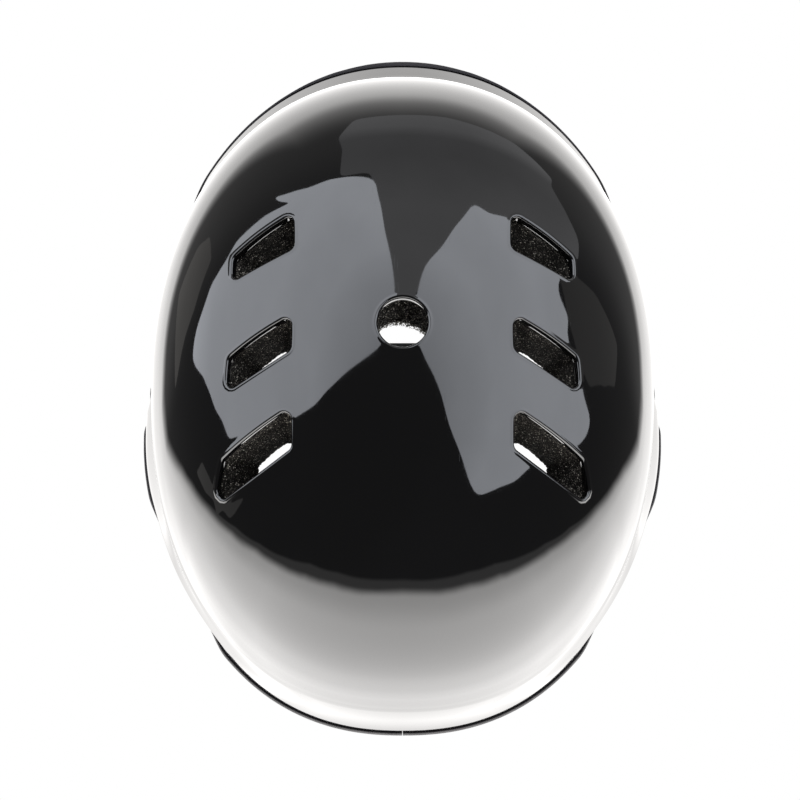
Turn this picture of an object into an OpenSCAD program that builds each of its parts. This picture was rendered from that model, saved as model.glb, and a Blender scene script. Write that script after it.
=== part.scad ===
// Hard-shell batting helmet with two ear flaps, a foam liner set,
// removable comfort pads, a rubber edge trim and a swinging chin strap.
// Frame: +Z up, front of the helmet towards -Y, wearer's right towards -X.
// Origin: on the surface that the helmet stands on, under the middle of its box.

/* [Shell] */
// Half width of the dome at its widest
dome_half_w = 105.9; // [102:0.1:110]
// Crown axis to the front of the dome
dome_front = 134.35; // [130:0.05:139]
// Crown axis to the back of the dome
dome_rear = 138.05; // [132:0.05:142]
// Height of the dome above its widest line
dome_h = 100; // [94:1:106]
// Height of the widest line above the flap edges
belt_z = 80; // [76:1:84]
// Wall thickness of the moulded shell
shell_t = 3.8; // [3:0.1:4.5]
// Height of the brow edge above the flap edges
brow_z = 63; // [58:1:68]
// Height of the nape edge above the flap edges
nape_z = 24; // [18:1:30]

/* [Flares] */
// How far the brow lip flares forward
brow_flare = 17.2; // [9:0.1:19]
// How far the ear flaps flare sideways
ear_flare = 11.7; // [8:0.1:13]
// How far the nape flares back
nape_flare = 1.3; // [0:0.1:4]
// How far the flap draws in ahead of the ear
jaw_draw = 4.2; // [2:0.1:5]
// How far the lower edge draws in behind the ear
tail_draw = 2.9; // [1:0.1:4]

/* [Openings] */
// Radius of the round crown hole
crown_r = 9.9; // [9:0.1:12]
// Radius of the round ear holes
ear_r = 13; // [10:0.5:14]
// Corner radius of the side vents
vent_corner = 3; // [2:0.5:4]

/* [Trim] */
// Thickness of the rubber channel
trim_t = 1.7; // [1:0.1:2]
// Height of the legs of the rubber channel
trim_leg = 4; // [3:0.5:5]

/* [Liner and pads] */
// Thickness of the foam liner
liner_t = 17; // [14:0.5:18]
// Thickness of the foam at the crown
crown_t = 22; // [17:0.5:24]
// Thickness of the comfort pads
pad_t = 7; // [5:0.5:8]
// Thickness of the ear pads
ear_pad_t = 16; // [10:0.5:18]

/* [Chin strap] */
// Height of the strap posts above the rest surface
post_z = 16; // [15:0.5:18]
// Distance of the strap posts ahead of the crown axis
post_front = 14; // [12:1:16]
// Width of the webbing
web_w = 20; // [15:1:22]
// Thickness of the webbing
web_t = 1.4; // [1:0.1:1.6]
// Height of the slack hump in each half of the strap
hump_h = 17; // [10:1:20]

/* [Hidden] */

trim_b = 1.8;                     // rubber under the shell edge
butt = 0.06;                      // half the gap between the trim's ends, degrees
zc = belt_z + trim_b;             // belt height above the rest surface
nv = 2.1;                         // roundness of the dome in profile
mf = 2.155;                       // roundness of the front half in plan
mr = 2.266;                       // roundness of the rear half in plan
tuck = 2.1;                       // how far the skirt draws in below the belt
lean = 80;                        // skirt height for one unit of t

function ss(x) = let(c = max(0, min(1, x))) c*c*(3 - 2*c);
function lerp(a, b, u) = a + (b - a)*u;
function wrap(p) = p - 360*floor((p + 180)/360);

// ---- the helmet's outer surface: p is the bearing from the front in degrees,
// t is 0 at the crown, 1 at the belt and more on the skirt ----
function edge_z(p) = let(a = abs(wrap(p)))
    trim_b + (a < 91 ? brow_z*(1 - ss((a - 40)/32)) : nape_z*ss((a - 110)/24));
function w_brow(a) = exp(-pow(a/47, 1.8))*(1 - ss((a - 46)/24));
function w_ear(a) = ss((a - 58)/26)*(1 - ss((a - 92)/55));
function w_jaw(a) = ss((a - 56)/14)*(1 - ss((a - 84)/6));
function w_tail(a) = (0.34*ss((a - 84)/6) + 0.66*ss((a - 103.5)/9))*(1 - ss((a - 136.4)/8));
function w_nape(a) = ss((a - 108)/34);
// the brow lip stands upright at its rim, slopes in at 45 degrees and then runs out
function lip(h) = h < 3 ? brow_flare : h < 11 ? brow_flare + 3 - h
    : (brow_flare - 8)*pow(max(0, 1 - (h - 11)/17), 17/(brow_flare - 8));
function flare(a, h) = w_brow(a)*lip(h) + w_ear(a)*ear_flare*(1 - ss(h/50))
    - (w_jaw(a)*jaw_draw + w_tail(a)*tail_draw)*(1 - ss(h/16)) + w_nape(a)*nape_flare*pow(max(0, min(1, 1 - h/34)), 2.2);
function plan_r(p) = let(c = cos(p), s = abs(sin(p)), a = c > 0 ? dome_front : dome_rear,
    m = c > 0 ? mf : mr) pow(pow(s/dome_half_w, m) + pow(abs(c)/a, m), -1/m);
function t_of_z(z) = z > zc ? acos(pow(min(1, (z - zc)/dome_h), nv/2))/90 : 1 + (zc - z)/lean;
function t_of_plan(x, f) = asin(pow(min(1, norm([x, f])/plan_r(atan2(x, f))), nv/2))/90;
function z_of_t(t) = t <= 1 ? zc + dome_h*pow(cos(90*t), 2/nv) : zc - (t - 1)*lean;
function rad(p, t) = let(z = z_of_t(t), d = max(0, (zc - z)/60))
    plan_r(p)*(t < 1 ? pow(sin(90*t), 2/nv) : 1) - tuck*d*d/(1 + 0.35*d*d)
    + flare(abs(wrap(p)), z - edge_z(p));
front_y = -rad(0, t_of_z(edge_z(0)));
rear_y = rad(180, t_of_z(edge_z(180)));
y0 = -(front_y + rear_y)/2 + trim_t*1.05*(trim_k(0) - trim_k(180))/2;       // puts the middle of the box at Y 0
function pt(p, t) = let(r = rad(p, t)) [r*sin(p), y0 - r*cos(p), z_of_t(t)];
function unit(v) = v/norm(v);
function nrm(p, t) = t < 0.02 ? [0, 0, 1]
    : unit(cross(pt(p, t + 0.004) - pt(p, t - 0.004), pt(p + 0.5, t) - pt(p - 0.5, t)));
// point at depth d under the outer surface; it stays level near the edge, or where lv is 1
function deep(p, t, d, lv = 0) = let(n = nrm(p, t), h = z_of_t(t) - edge_z(p), w = max(lv, 1 - ss((h - 8)/30)),
    q = norm([n[0], n[1]]), e = w > 0 && q > 0 ? unit((1 - w)*n + w*[n[0]/q, n[1]/q, 0]) : n)
    pt(p, t) - e*(d/(e*n));

// ---- the full bowl between two depths ----
step = 4;
rows_h = [0, trim_leg/2, trim_leg, 7.5, 11, 15, 20, 28, 37];
row_n = 22;
function row_t(p, i) = i < 9 ? t_of_z(edge_z(p) + rows_h[i])
    : t_of_z(edge_z(p) + 37)*(1 - (i - 8)/(row_n - 8));
module bowl(d0, d1) {
    n = 360/step;
    o = [for (i = [0:row_n - 1], k = [0:n - 1]) let(p = k*step, t = row_t(p, i)) deep(p, t, d0)];
    q = [for (i = [0:row_n - 1], k = [0:n - 1]) let(p = k*step, t = row_t(p, i)) deep(p, t, d1)];
    m = n*row_n;
    pts = concat(o, q, [[0, y0, zc + dome_h - d0], [0, y0, zc + dome_h - d1]]);
    f = concat(
        [for (i = [0:row_n - 2], k = [0:n - 1]) let(a = i*n + k, b = i*n + (k + 1)%n) each
            [[a, a + n, b + n], [a, b + n, b]]],
        [for (i = [0:row_n - 2], k = [0:n - 1]) let(a = m + i*n + k, b = m + i*n + (k + 1)%n) each
            [[a, b + n, a + n], [a, b, b + n]]],
        [for (k = [0:n - 1]) let(a = m - n + k, b = m - n + (k + 1)%n) [a, 2*m, b]],
        [for (k = [0:n - 1]) let(a = 2*m - n + k, b = 2*m - n + (k + 1)%n) [a, b, 2*m + 1]],
        [for (k = [0:n - 1]) let(b = (k + 1)%n) each [[k, b, m + k], [b, m + b, m + k]]]);
    polyhedron(pts, f);
}

// ---- a block of the bowl: q(u, v) gives [bearing, t] ----
module patch(q, nu, nw, d0, d1, puff = 0, lv = 0) {
    g = [for (i = [0:nu], j = [0:nw]) q(i/nu, j/nw)];
    o = [for (a = g) deep(a[0], a[1], d0, lv)];
    r = [for (i = [0:nu], j = [0:nw]) let(a = q(i/nu, j/nw), e = 1 - puff + puff*pow(max(0,
        16*(i/nu)*(1 - i/nu)*(j/nw)*(1 - j/nw)), 0.35)) deep(a[0], a[1], d0 + (d1 - d0)*e, lv)];
    w = nw + 1;
    m = (nu + 1)*w;
    f = concat(
        [for (i = [0:nu - 1], j = [0:nw - 1]) let(a = i*w + j) each [[a, a + 1, a + w + 1], [a, a + w + 1, a + w]]],
        [for (i = [0:nu - 1], j = [0:nw - 1]) let(a = m + i*w + j) each [[a, a + w + 1, a + 1], [a, a + w, a + w + 1]]],
        [for (i = [0:nu - 1]) let(a = i*w) each [[a, a + w, a + w + m], [a, a + w + m, a + m]]],
        [for (i = [0:nu - 1]) let(a = i*w + nw) each [[a, a + w + m, a + w], [a, a + m, a + w + m]]],
        [for (j = [0:nw - 1]) let(a = j) each [[a, a + m + 1, a + 1], [a, a + m, a + m + 1]]],
        [for (j = [0:nw - 1]) let(a = nu*w + j) each [[a, a + 1, a + m + 1], [a, a + m + 1, a + m]]]);
    polyhedron(concat(o, r), f);
}
// the same block, mirrored for the wearer's right side
module side_patch(s, q, nu, nw, d0, d1, puff = 0, lv = 0) {
    if (s > 0) patch(q, nu, nw, d0, d1, puff, lv);
    else mirror([1, 0, 0]) patch(q, nu, nw, d0, d1, puff, lv);
}

// ---- side vents: corners in plan, [x, distance ahead of the crown axis] ----
vents = [
    [[43.9, 49.8], [43.5, 33.7], [68.5, 23.5], [68.4, 34.3]],
    [[44, 5.5], [44.2, -9], [70.4, -22.2], [69.5, -8.3]],
    [[44, -31.8], [44, -47.8], [75.1, -65.2], [71.9, -48.4]]
];
function vt(c) = [atan2(c[0], c[1]), t_of_plan(c[0], c[1])];
function corner_arc(a, b, c, r) = let(u = unit(a - b), v = unit(c - b), h = acos(u*v)/2,
    m = b + unit(u + v)*(r/sin(h)), s = unit((b + u*(r/tan(h))) - m), e = unit((b + v*(r/tan(h))) - m))
    [for (i = [0:4]) m + r*unit(s*(1 - i/4) + e*(i/4) + 0.0001*(b - m))];
module vent_cut(c, grow, deep_to) {
    q = [for (k = c) let(a = vt(k)) pt(a[0], a[1])];
    o = (q[0] + q[1] + q[2] + q[3])/4;
    z = unit(cross(q[2] - q[0], q[3] - q[1]));
    zz = z[2] > 0 ? z : -z;
    x = unit((q[0] - q[3]) - zz*((q[0] - q[3])*zz));
    y = cross(zz, x);
    k0 = [for (k = q) [(k - o)*x, (k - o)*y]];
    k = [for (i = [0:3]) let(u = unit(k0[i])) k0[i] + u*grow];
    poly = [for (i = [0:3]) each corner_arc(k[(i + 3)%4], k[i], k[(i + 1)%4], vent_corner)];
    multmatrix([[x[0], y[0], zz[0], o[0]], [x[1], y[1], zz[1], o[1]], [x[2], y[2], zz[2], o[2]]])
        translate([0, 0, -deep_to]) linear_extrude(deep_to + 8) polygon(poly);
}
module vent_cuts(s, grow, deep_to) {
    if (s > 0) for (c = vents) vent_cut(c, grow, deep_to);
    else mirror([1, 0, 0]) for (c = vents) vent_cut(c, grow, deep_to);
}
// foam funnels under the vents: where each ends at the inner face, measured from the
// vent's inner rear corner, [along the rear edge from, to, forward from, to]
funnel_ends = [[8, 23, 3.5, 10], [11.5, 26, 4.5, 10.8], [12.5, 30.5, 1.2, 7.4]];
function ring4(k, r) = [for (i = [0:3]) each corner_arc(k[(i + 3)%4], k[i], k[(i + 1)%4], r)];
module funnel(c, e) {
    q = [for (k = c) let(a = vt(k)) pt(a[0], a[1])];
    o = (q[0] + q[1] + q[2] + q[3])/4;
    n = unit(cross(q[2] - q[0], q[3] - q[1]));
    z = n[2] > 0 ? n : -n;
    x = unit((q[0] - q[3]) - z*((q[0] - q[3])*z));
    y = cross(z, x);
    k0 = [for (k = q) [(k - o)*x, (k - o)*y]];
    k = [for (i = [0:3]) k0[i] + unit(k0[i])*0.9];
    a = unit(k0[2] - k0[1]);
    b = let(m = [-a[1], a[0]]) m*(k0[0] - k0[1]) > 0 ? m : -m;
    g = [k0[1] + a*e[0] + b*e[3], k0[1] + a*e[0] + b*e[2], k0[1] + a*e[1] + b*e[2], k0[1] + a*e[1] + b*e[3]];
    top = ring4(k, vent_corner);
    low = ring4(g, 2.5);
    mid = [for (i = [0:len(top) - 1]) lerp(top[i], low[i], 0.62)];
    rings = [for (h = [[8, top], [-5, top], [-14, mid], [-22, low], [-40, low]])
        each [for (p = h[1]) o + x*p[0] + y*p[1] + z*h[0]]];
    m = len(top);
    polyhedron(rings, concat([[for (i = [0:m - 1]) i], [for (i = [m - 1:-1:0]) 4*m + i]],
        [for (h = [0:3], i = [0:m - 1]) let(j = (i + 1)%m) each
            [[h*m + i, (h + 1)*m + i, (h + 1)*m + j], [h*m + i, (h + 1)*m + j, h*m + j]]]));
}

// ---- places ----
post_y = y0 - post_front;
ear_y = y0 + 11;
ear_z = 46;
ear_out = pt(96, t_of_z(ear_z))[0];
post_out = pt(83, t_of_z(post_z))[0];
seat_x = post_out - 9.5;          // flat inner face of the strap boss
l0 = shell_t + 0.6;               // outer face of the liner
l1 = l0 + liner_t;
p0 = l1 + 2;                      // outer face of the comfort pads
p1 = p0 + pad_t;

module rod_x(x0, x1, r, y, z) translate([x0, y, z]) rotate([0, 90, 0]) cylinder(h = x1 - x0, r = r, $fn = 48);

// hairline seams that part the shell into simple bodies which touch as one wall
seam = 0.015;
seam_z = 62;
module seams() {
    difference() {
        union() {
            translate([-seam, -180, seam_z]) cube([2*seam, 360, 140]);
            for (y = [-62, -14, 27, 75]) translate([-140, y0 + y - seam, seam_z]) cube([280, 2*seam, 140]);
        }
        translate([0, y0, seam_z - 1]) cylinder(h = 150, r = 30, $fn = 96);
    }
    translate([0, y0, zc + 20]) difference() {
        cylinder(h = dome_h, r = 30 + seam, $fn = 96);
        translate([0, 0, -1]) cylinder(h = dome_h + 2, r = 30 - seam, $fn = 96);
    }
    for (z = [seam_z, seam_z + 56]) translate([-140, -180, z - seam]) cube([280, 360, 2*seam]);
    for (y = [ear_y, y0 + 75]) translate([-140, y - seam, -2]) cube([280, 2*seam, seam_z + 2]);
}

module outer_shell() {
    color([0.03, 0.03, 0.035]) difference() {
        union() {
            bowl(0, shell_t);
            for (s = [-1, 1]) rod_x(s > 0 ? seat_x : -post_out + 2.2, s > 0 ? post_out - 2.2 : -seat_x, 7, post_y, post_z);
        }
        vent_cuts(1, 0, 16);
        vent_cuts(-1, 0, 16);
        translate([0, y0, zc + dome_h - 20]) cylinder(h = 30, r = crown_r, $fn = 96);
        for (s = [-1, 1]) {
            rod_x(s > 0 ? ear_out - 20 : -ear_out - 12, s > 0 ? ear_out + 12 : -ear_out + 20, ear_r, ear_y, ear_z);
            rod_x(s > 0 ? seat_x - 1 : -post_out - 8, s > 0 ? post_out + 8 : -seat_x + 1, 3, post_y, post_z);
            rod_x(s > 0 ? post_out - 2.5 : -post_out - 8, s > 0 ? post_out + 8 : -post_out + 2.5, 5.7, post_y, post_z);
        }
        seams();
    }
}

// rubber channel over the whole lower edge, its ends butted at the back; hairline
// seams part it into twelve runs
trim_runs = [-180, -136, -112, -72, -56, -40, 0, 40, 56, 72, 112, 136, 180];
// the channel is full size at the brow, thinner at the temples and round the back
function trim_k(a) = 1 - 0.35*ss(a/45) + 0.2*ss((a - 60)/25) - 0.3*ss((a - 108)/34);
module trim_run(pa, pb) {
    n = round((pb - pa)/step);
    g = 0.08;
    e0 = pa == -180 ? butt : 0.007;
    e1 = pb == 180 ? butt : 0.007;
    function hv(p) = let(m = nrm(p, t_of_z(edge_z(p)))) unit([m[0], m[1], 0]);
    function sec(p) = let(e = edge_z(p), q = abs(p), w = trim_t*trim_k(q), t0 = t_of_z(e), t1 = t_of_z(e + trim_leg/2), t2 = t_of_z(e + trim_leg),
        a = deep(p, t0, 0), b = deep(p, t0, shell_t), h = hv(p), dz = [0, 0, -trim_b]) [
        deep(p, t2, -g), deep(p, t2, -w*0.75), deep(p, t1, -w), a + h*w*1.05 + [0, 0, -0.5],
        a + h*w*0.5 + dz, b - h*w*0.5 + dz, b - h*w*1.05 + [0, 0, -0.5],
        deep(p, t1, shell_t + w), deep(p, t2, shell_t + w*0.75), deep(p, t2, shell_t + g),
        deep(p, t1, shell_t + g), b - h*g - [0, 0, g], a + h*g - [0, 0, g], deep(p, t1, -g)];
    s = [for (k = [0:n]) sec(min(max(pa + k*step, pa + e0), pb - e1))];
    c = len(s[0]);
    cap = [[0, 1, 2], [0, 2, 13], [13, 2, 3], [13, 3, 12], [12, 3, 4], [12, 4, 5], [12, 5, 11],
        [11, 5, 6], [11, 6, 7], [11, 7, 10], [10, 7, 8], [10, 8, 9]];
    f = concat([for (k = [0:n - 1], j = [0:c - 1]) let(a = k*c + j, b = k*c + (j + 1)%c,
        d = a + c, e = b + c) each [[a, b, e], [a, e, d]]],
        [for (q = cap) [q[0], q[2], q[1]]], [for (q = cap) n*c*[1, 1, 1] + q]);
    polyhedron([for (r = s) each r], f);
}
module edge_trim() {
    color([0.13, 0.12, 0.13]) for (i = [0:len(trim_runs) - 2]) trim_run(trim_runs[i], trim_runs[i + 1]);
}

// ---- foam liner ----
function plan_q(x, f) = [atan2(x, f), t_of_plan(x, f)];
module crown_liner() {
    color([0.12, 0.12, 0.11]) difference() {
        patch(function (u, v) plan_q(lerp(-34.5, 34.5, u), lerp(-68, 58, v)), 12, 17, l0, l0 + crown_t);
        translate([0, y0, zc + dome_h - 40]) cylinder(h = 50, r = crown_r + 0.8, $fn = 96);
    }
}
module front_liner() {
    color([0.12, 0.12, 0.11]) patch(function (u, v) let(top = plan_q(lerp(-33.5, 33.5, u), 60))
        [lerp(top[0], lerp(-24.5, 24.5, u), v), lerp(top[1], t_of_z(edge_z(0) + 21), v)], 12, 9, l0, l1);
}
module rear_liner() {
    color([0.12, 0.12, 0.11]) patch(function (u, v) let(top = plan_q(lerp(33.5, -33.5, u), -70))
        [lerp((top[0] + 360)%360, lerp(151, 209, u), v), lerp(top[1], t_of_z(edge_z(180) + 16), v)], 14, 12, l0, l1);
}
function side_bottom(p) = edge_z(p) > 57 ? edge_z(p) + 21 : 76 - 10*ss((p - 60)/20) - 14*ss((p - 115)/25);
module side_liner(s) {
    color([0.12, 0.12, 0.11]) difference() {
        side_patch(s, function (u, v) let(top = plan_q(36, lerp(59, -69, u)), b = lerp(26.5, 149, u))
            [lerp(top[0], b, v), lerp(top[1], t_of_z(side_bottom(b)), v)], 22, 12, l0 + 0.35, l1);
        if (s > 0) for (i = [0:2]) funnel(vents[i], funnel_ends[i]);
        else mirror([1, 0, 0]) for (i = [0:2]) funnel(vents[i], funnel_ends[i]);
    }
}
module left_side_liner() side_liner(1);
module right_side_liner() side_liner(-1);

// ---- comfort pads ----
module front_pad() {
    color([0.09, 0.09, 0.1]) patch(function (u, v) [lerp(-23, 23, u), lerp(t_of_z(edge_z(0) + 53),
        t_of_z(edge_z(0) + 24), v)], 10, 6, p0, p1, 0.5);
}
module rear_pad() {
    color([0.09, 0.09, 0.1]) patch(function (u, v) [lerp(155, 205, u), lerp(t_of_z(84), t_of_z(46), v)], 10, 6, p0, p1, 0.5);
}
module crown_pad() {
    color([0.09, 0.09, 0.1]) difference() {
        patch(function (u, v) plan_q(lerp(-34, 34, u), lerp(-44, 44, v)), 10, 12, l0 + crown_t + 2, l0 + crown_t + 2 + pad_t, 0.5);
        translate([0, y0, zc + dome_h - 60]) cylinder(h = 70, r = crown_r + 1.4, $fn = 64);
    }
}
module side_pad(s) {
    color([0.09, 0.09, 0.1]) side_patch(s, function (u, v) [lerp(58, 124, u), lerp(t_of_z(122), t_of_z(86), v)], 12, 6, p0, p1, 0.5);
}
module left_side_pad() side_pad(1);
module right_side_pad() side_pad(-1);
module ear_pad(s) {
    color([0.09, 0.09, 0.1]) difference() {
        side_patch(s, function (u, v) [lerp(85, 108.5, u), lerp(t_of_z(64), t_of_z(28), v)], 10, 8, shell_t + 2, shell_t + 2 + ear_pad_t, 0.4, 1);
        rod_x(s > 0 ? 60 : -140, s > 0 ? 140 : -60, ear_r + 1.5, ear_y, ear_z);
    }
}
module left_ear_pad() ear_pad(1);
module right_ear_pad() ear_pad(-1);

// round hook fasteners that hold the pads: [bearing, height]
dots = [[-13, 98], [13, 98], [168, 64], [192, 64], [75, 104], [105, 104], [-75, 104], [-105, 104]];
module dot_at(p, t, d, r) {
    n = nrm(p, t);
    translate(deep(p, t, d)) rotate([0, acos(n[2]), atan2(n[1], n[0])]) cylinder(h = 0.9, r = r, $fn = 40);
}
module pad_hook_dots() {
    color([0.06, 0.06, 0.06]) {
        for (d = dots) dot_at(d[0], t_of_z(d[1] + trim_b), l1 + 1.8, 8);
        for (s = [0, 180]) dot_at(s, t_of_plan(0, 30), l0 + crown_t + 1.8, 8);
        for (s = [-1, 1]) for (q = [[88.6, 60], [88.6, 33], [104, 60], [104, 33]]) dot_at(s*q[0], t_of_z(q[1]), shell_t + 1.6, 3.4);
    }
}

// ---- chin strap and its posts ----
module strap_posts() {
    color([0.1, 0.1, 0.1]) for (s = [0, 180]) translate([0, post_y, post_z]) rotate([0, 0, s]) {
        rod_x(seat_x - 5.4, post_out - 2, 2.95, 0, 0);
        rod_x(post_out - 2.45, post_out - 1, 5.4, 0, 0);
    }
}
module post_caps() {
    color([0.1, 0.1, 0.1]) for (s = [0, 180]) translate([0, post_y, post_z]) rotate([0, 0, s]) difference() {
        union() {
            rod_x(seat_x - 5.6, seat_x - 3.6, 5.8, 0, 0);
            rod_x(seat_x - 6.6, seat_x - 5.5, 4.4, 0, 0);
        }
        rod_x(seat_x - 5.45, seat_x - 3, 3, 0, 0);
    }
}
eye_x0 = seat_x - 3.3;            // inner face of the eyelet
eye_x1 = seat_x - 0.3;            // outer face, beside the boss
web_z = 2.3;                      // middle of the webbing on the floor
module eyelet(s) {
    color([0.08, 0.08, 0.08]) translate([0, post_y, post_z]) rotate([0, 0, s > 0 ? 0 : 180]) difference() {
        union() {
            rod_x(eye_x0, eye_x1, 8.4, 0, 0);
            translate([eye_x0, -8.4, -11]) cube([3, 16.8, 11]);
        }
        rod_x(eye_x0 - 1, eye_x1 + 1, 3.02, 0, 0);
        translate([eye_x0 + 1.5 - web_t/2 - 0.1, -10.2, -11.1]) cube([web_t + 0.2, 20.4, 3.1]);
    }
}
module left_strap_eyelet() eyelet(1);
module right_strap_eyelet() eyelet(-1);

// the webbing's middle line from the chin cup out to the eyelet, [x, z]
eye_mid = eye_x0 + 1.5;
function hump(u) = (1 - cos(360*u))/2;
web_line = concat(
    [[-1, web_z], [20, web_z], [46.5, web_z]],
    [for (i = [1:11]) [lerp(46.5, 73, i/12), web_z + hump_h*hump(i/12)]],
    [[73, web_z], [eye_mid - 2.5, web_z]],
    [for (a = [18:18:90]) [eye_mid - 2.5 + 2.5*sin(a), web_z + 2.5 - 2.5*cos(a)]],
    [[eye_mid, post_z - 8.2]]);
function side_of(l, i, d) = let(a = l[max(0, i - 1)], b = l[min(len(l) - 1, i + 1)], t = unit(b - a)) l[i] + d*[-t[1], t[0]];
module web(x_from) {
    n = len(web_line);
    l = [for (i = [0:n - 1]) i == 0 ? [x_from, web_z] : web_line[i]];
    translate([0, post_y + web_w/2, 0]) rotate([90, 0, 0]) linear_extrude(web_w)
        polygon(concat([for (i = [0:n - 1]) side_of(l, i, web_t/2)], [for (i = [n - 1:-1:0]) side_of(l, i, -web_t/2)]));
}
module left_webbing() color([0.07, 0.07, 0.07]) web(0.3);
module right_webbing() color([0.07, 0.07, 0.07]) translate([0, 2*post_y, 0]) rotate([0, 0, 180]) web(0.3);

// adjuster on the left half, on the flat stretch beside the eyelet
module strap_slider() {
    x0 = 74;
    color([0.05, 0.05, 0.05]) difference() {
        translate([x0, post_y - web_w/2 - 2.5, web_z - 1.9]) cube([8, web_w + 5, 4.4]);
        translate([x0 - 1, post_y - web_w/2 - 0.4, web_z - web_t/2 - 0.15]) cube([10, web_w + 0.8, web_t + 0.3]);
        translate([x0 + 2.6, post_y - web_w/2 - 0.4, web_z]) cube([2.8, web_w + 0.8, 5]);
    }
}
// elastic loop on the right half
module strap_keeper() {
    x0 = -81.5;
    color([0.05, 0.05, 0.05]) difference() {
        translate([x0, post_y - web_w/2 - 1.6, web_z - 1.8]) cube([7, web_w + 3.2, 3.6]);
        translate([x0 - 1, post_y - web_w/2 - 0.3, web_z - web_t/2 - 0.1]) cube([9, web_w + 0.6, web_t + 0.2]);
    }
}
module chin_plate(x, y, r, h) {
    linear_extrude(h) hull() for (a = [-1, 1], b = [-1, 1]) translate([a*(x - r), b*(y - r)]) circle(r, $fn = 32);
}
cup_fore = 8;                     // the chin rest reaches forward of the strap
module chin_cup() {
    color([0.06, 0.06, 0.06]) translate([0, post_y, 0]) difference() {
        translate([0, -cup_fore, 0.4]) chin_plate(41, 20.5, 9, 3.6);
        translate([-45, -web_w/2 - 0.5, web_z - web_t/2 - 0.15]) cube([90, web_w + 1, web_t + 0.3]);
    }
}
module chin_pad() {
    color([0.09, 0.09, 0.1]) translate([0, post_y - cup_fore, 4.1]) chin_plate(38, 18, 8, 6);
}

outer_shell();
edge_trim();
crown_liner();
front_liner();
rear_liner();
left_side_liner();
right_side_liner();
front_pad();
rear_pad();
crown_pad();
left_side_pad();
right_side_pad();
left_ear_pad();
right_ear_pad();
pad_hook_dots();
strap_posts();
post_caps();
left_strap_eyelet();
right_strap_eyelet();
left_webbing();
right_webbing();
strap_slider();
strap_keeper();
chin_cup();
chin_pad();
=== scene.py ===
import bpy, bmesh, math
import numpy as np
from mathutils import Vector, Matrix
from mathutils.geometry import delaunay_2d_cdt


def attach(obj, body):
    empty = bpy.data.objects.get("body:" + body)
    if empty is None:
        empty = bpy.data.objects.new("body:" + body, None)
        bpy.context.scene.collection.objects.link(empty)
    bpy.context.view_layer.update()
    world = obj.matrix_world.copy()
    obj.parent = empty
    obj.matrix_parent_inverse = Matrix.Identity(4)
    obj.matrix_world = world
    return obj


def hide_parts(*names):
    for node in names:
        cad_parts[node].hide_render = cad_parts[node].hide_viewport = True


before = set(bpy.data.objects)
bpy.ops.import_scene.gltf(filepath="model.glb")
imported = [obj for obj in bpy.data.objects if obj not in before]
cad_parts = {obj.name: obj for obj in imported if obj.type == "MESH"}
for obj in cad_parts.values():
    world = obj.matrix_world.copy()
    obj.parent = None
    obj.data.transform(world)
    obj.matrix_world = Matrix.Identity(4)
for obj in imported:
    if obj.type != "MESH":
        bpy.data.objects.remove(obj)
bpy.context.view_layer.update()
MM = 0.001

# ------------------------------------------------------------------ surface
# The helmet's outer surface in millimetres, by the same rules as the CAD:
# p is the bearing from the front in degrees, t is 0 at the crown, 1 at the belt.
TB = 1.8
ZC, DH, NV, HW = 80 + TB, 100.0, 2.1, 105.9
DF, DR, MF, MR, TUCK, LEAN = 134.35, 138.05, 2.155, 2.266, 2.1, 80.0
SHELL_T = 3.8
LINER0 = SHELL_T + 0.6
LINER1 = LINER0 + 17.0
CROWN1 = LINER0 + 22.0
PAD0 = LINER1 + 2.0
PAD1 = PAD0 + 7.0


def ss(x):
    x = np.clip(x, 0, 1)
    return x * x * (3 - 2 * x)


def lerp(a, b, u):
    return a + (b - a) * u


def wrap(p):
    return ((np.asarray(p, float) + 180) % 360) - 180


def edge_z(p):
    a = np.abs(wrap(p))
    return TB + np.where(a < 91, 63 * (1 - ss((a - 40) / 32)), 24 * ss((a - 110) / 24))


def lip(h):
    return np.where(h < 3, 17.2, np.where(h < 11, 20.2 - h, 9.2 * np.clip(1 - (h - 11) / 17, 0, 1) ** (17 / 9.2)))


def flare(a, h):
    brow = np.exp(-(a / 47) ** 1.8) * (1 - ss((a - 46) / 24))
    jaw = 4.2 * ss((a - 56) / 14) * (1 - ss((a - 84) / 6))
    tail = 2.9 * (0.34 * ss((a - 84) / 6) + 0.66 * ss((a - 103.5) / 9)) * (1 - ss((a - 136.4) / 8))
    return brow * lip(h) + ss((a - 58) / 26) * (1 - ss((a - 92) / 55)) * 11.7 * (1 - ss(h / 50)) \
        - (jaw + tail) * (1 - ss(h / 16)) + 1.3 * ss((a - 108) / 34) * np.clip(1 - h / 34, 0, 1) ** 2.2


def plan_r(p):
    c = np.cos(np.radians(p)); s = np.abs(np.sin(np.radians(p)))
    a = np.where(c > 0, DF, DR); m = np.where(c > 0, MF, MR)
    return ((s / HW) ** m + (np.abs(c) / a) ** m) ** (-1 / m)


def t_of_z(z):
    z = np.asarray(z, float)
    return np.where(z > ZC, np.degrees(np.arccos(np.clip((z - ZC) / DH, 0, 1) ** (NV / 2))) / 90, 1 + (ZC - z) / LEAN)


def z_of_t(t):
    t = np.asarray(t, float)
    return np.where(t <= 1, ZC + DH * np.abs(np.cos(np.radians(90 * np.clip(t, 0, 1)))) ** (2 / NV), ZC - (t - 1) * LEAN)


def t_of_plan(x, f):
    q = np.clip(np.hypot(x, f) / plan_r(np.degrees(np.arctan2(x, f))), 0, 1) ** (NV / 2)
    return np.degrees(np.arcsin(q)) / 90


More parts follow.
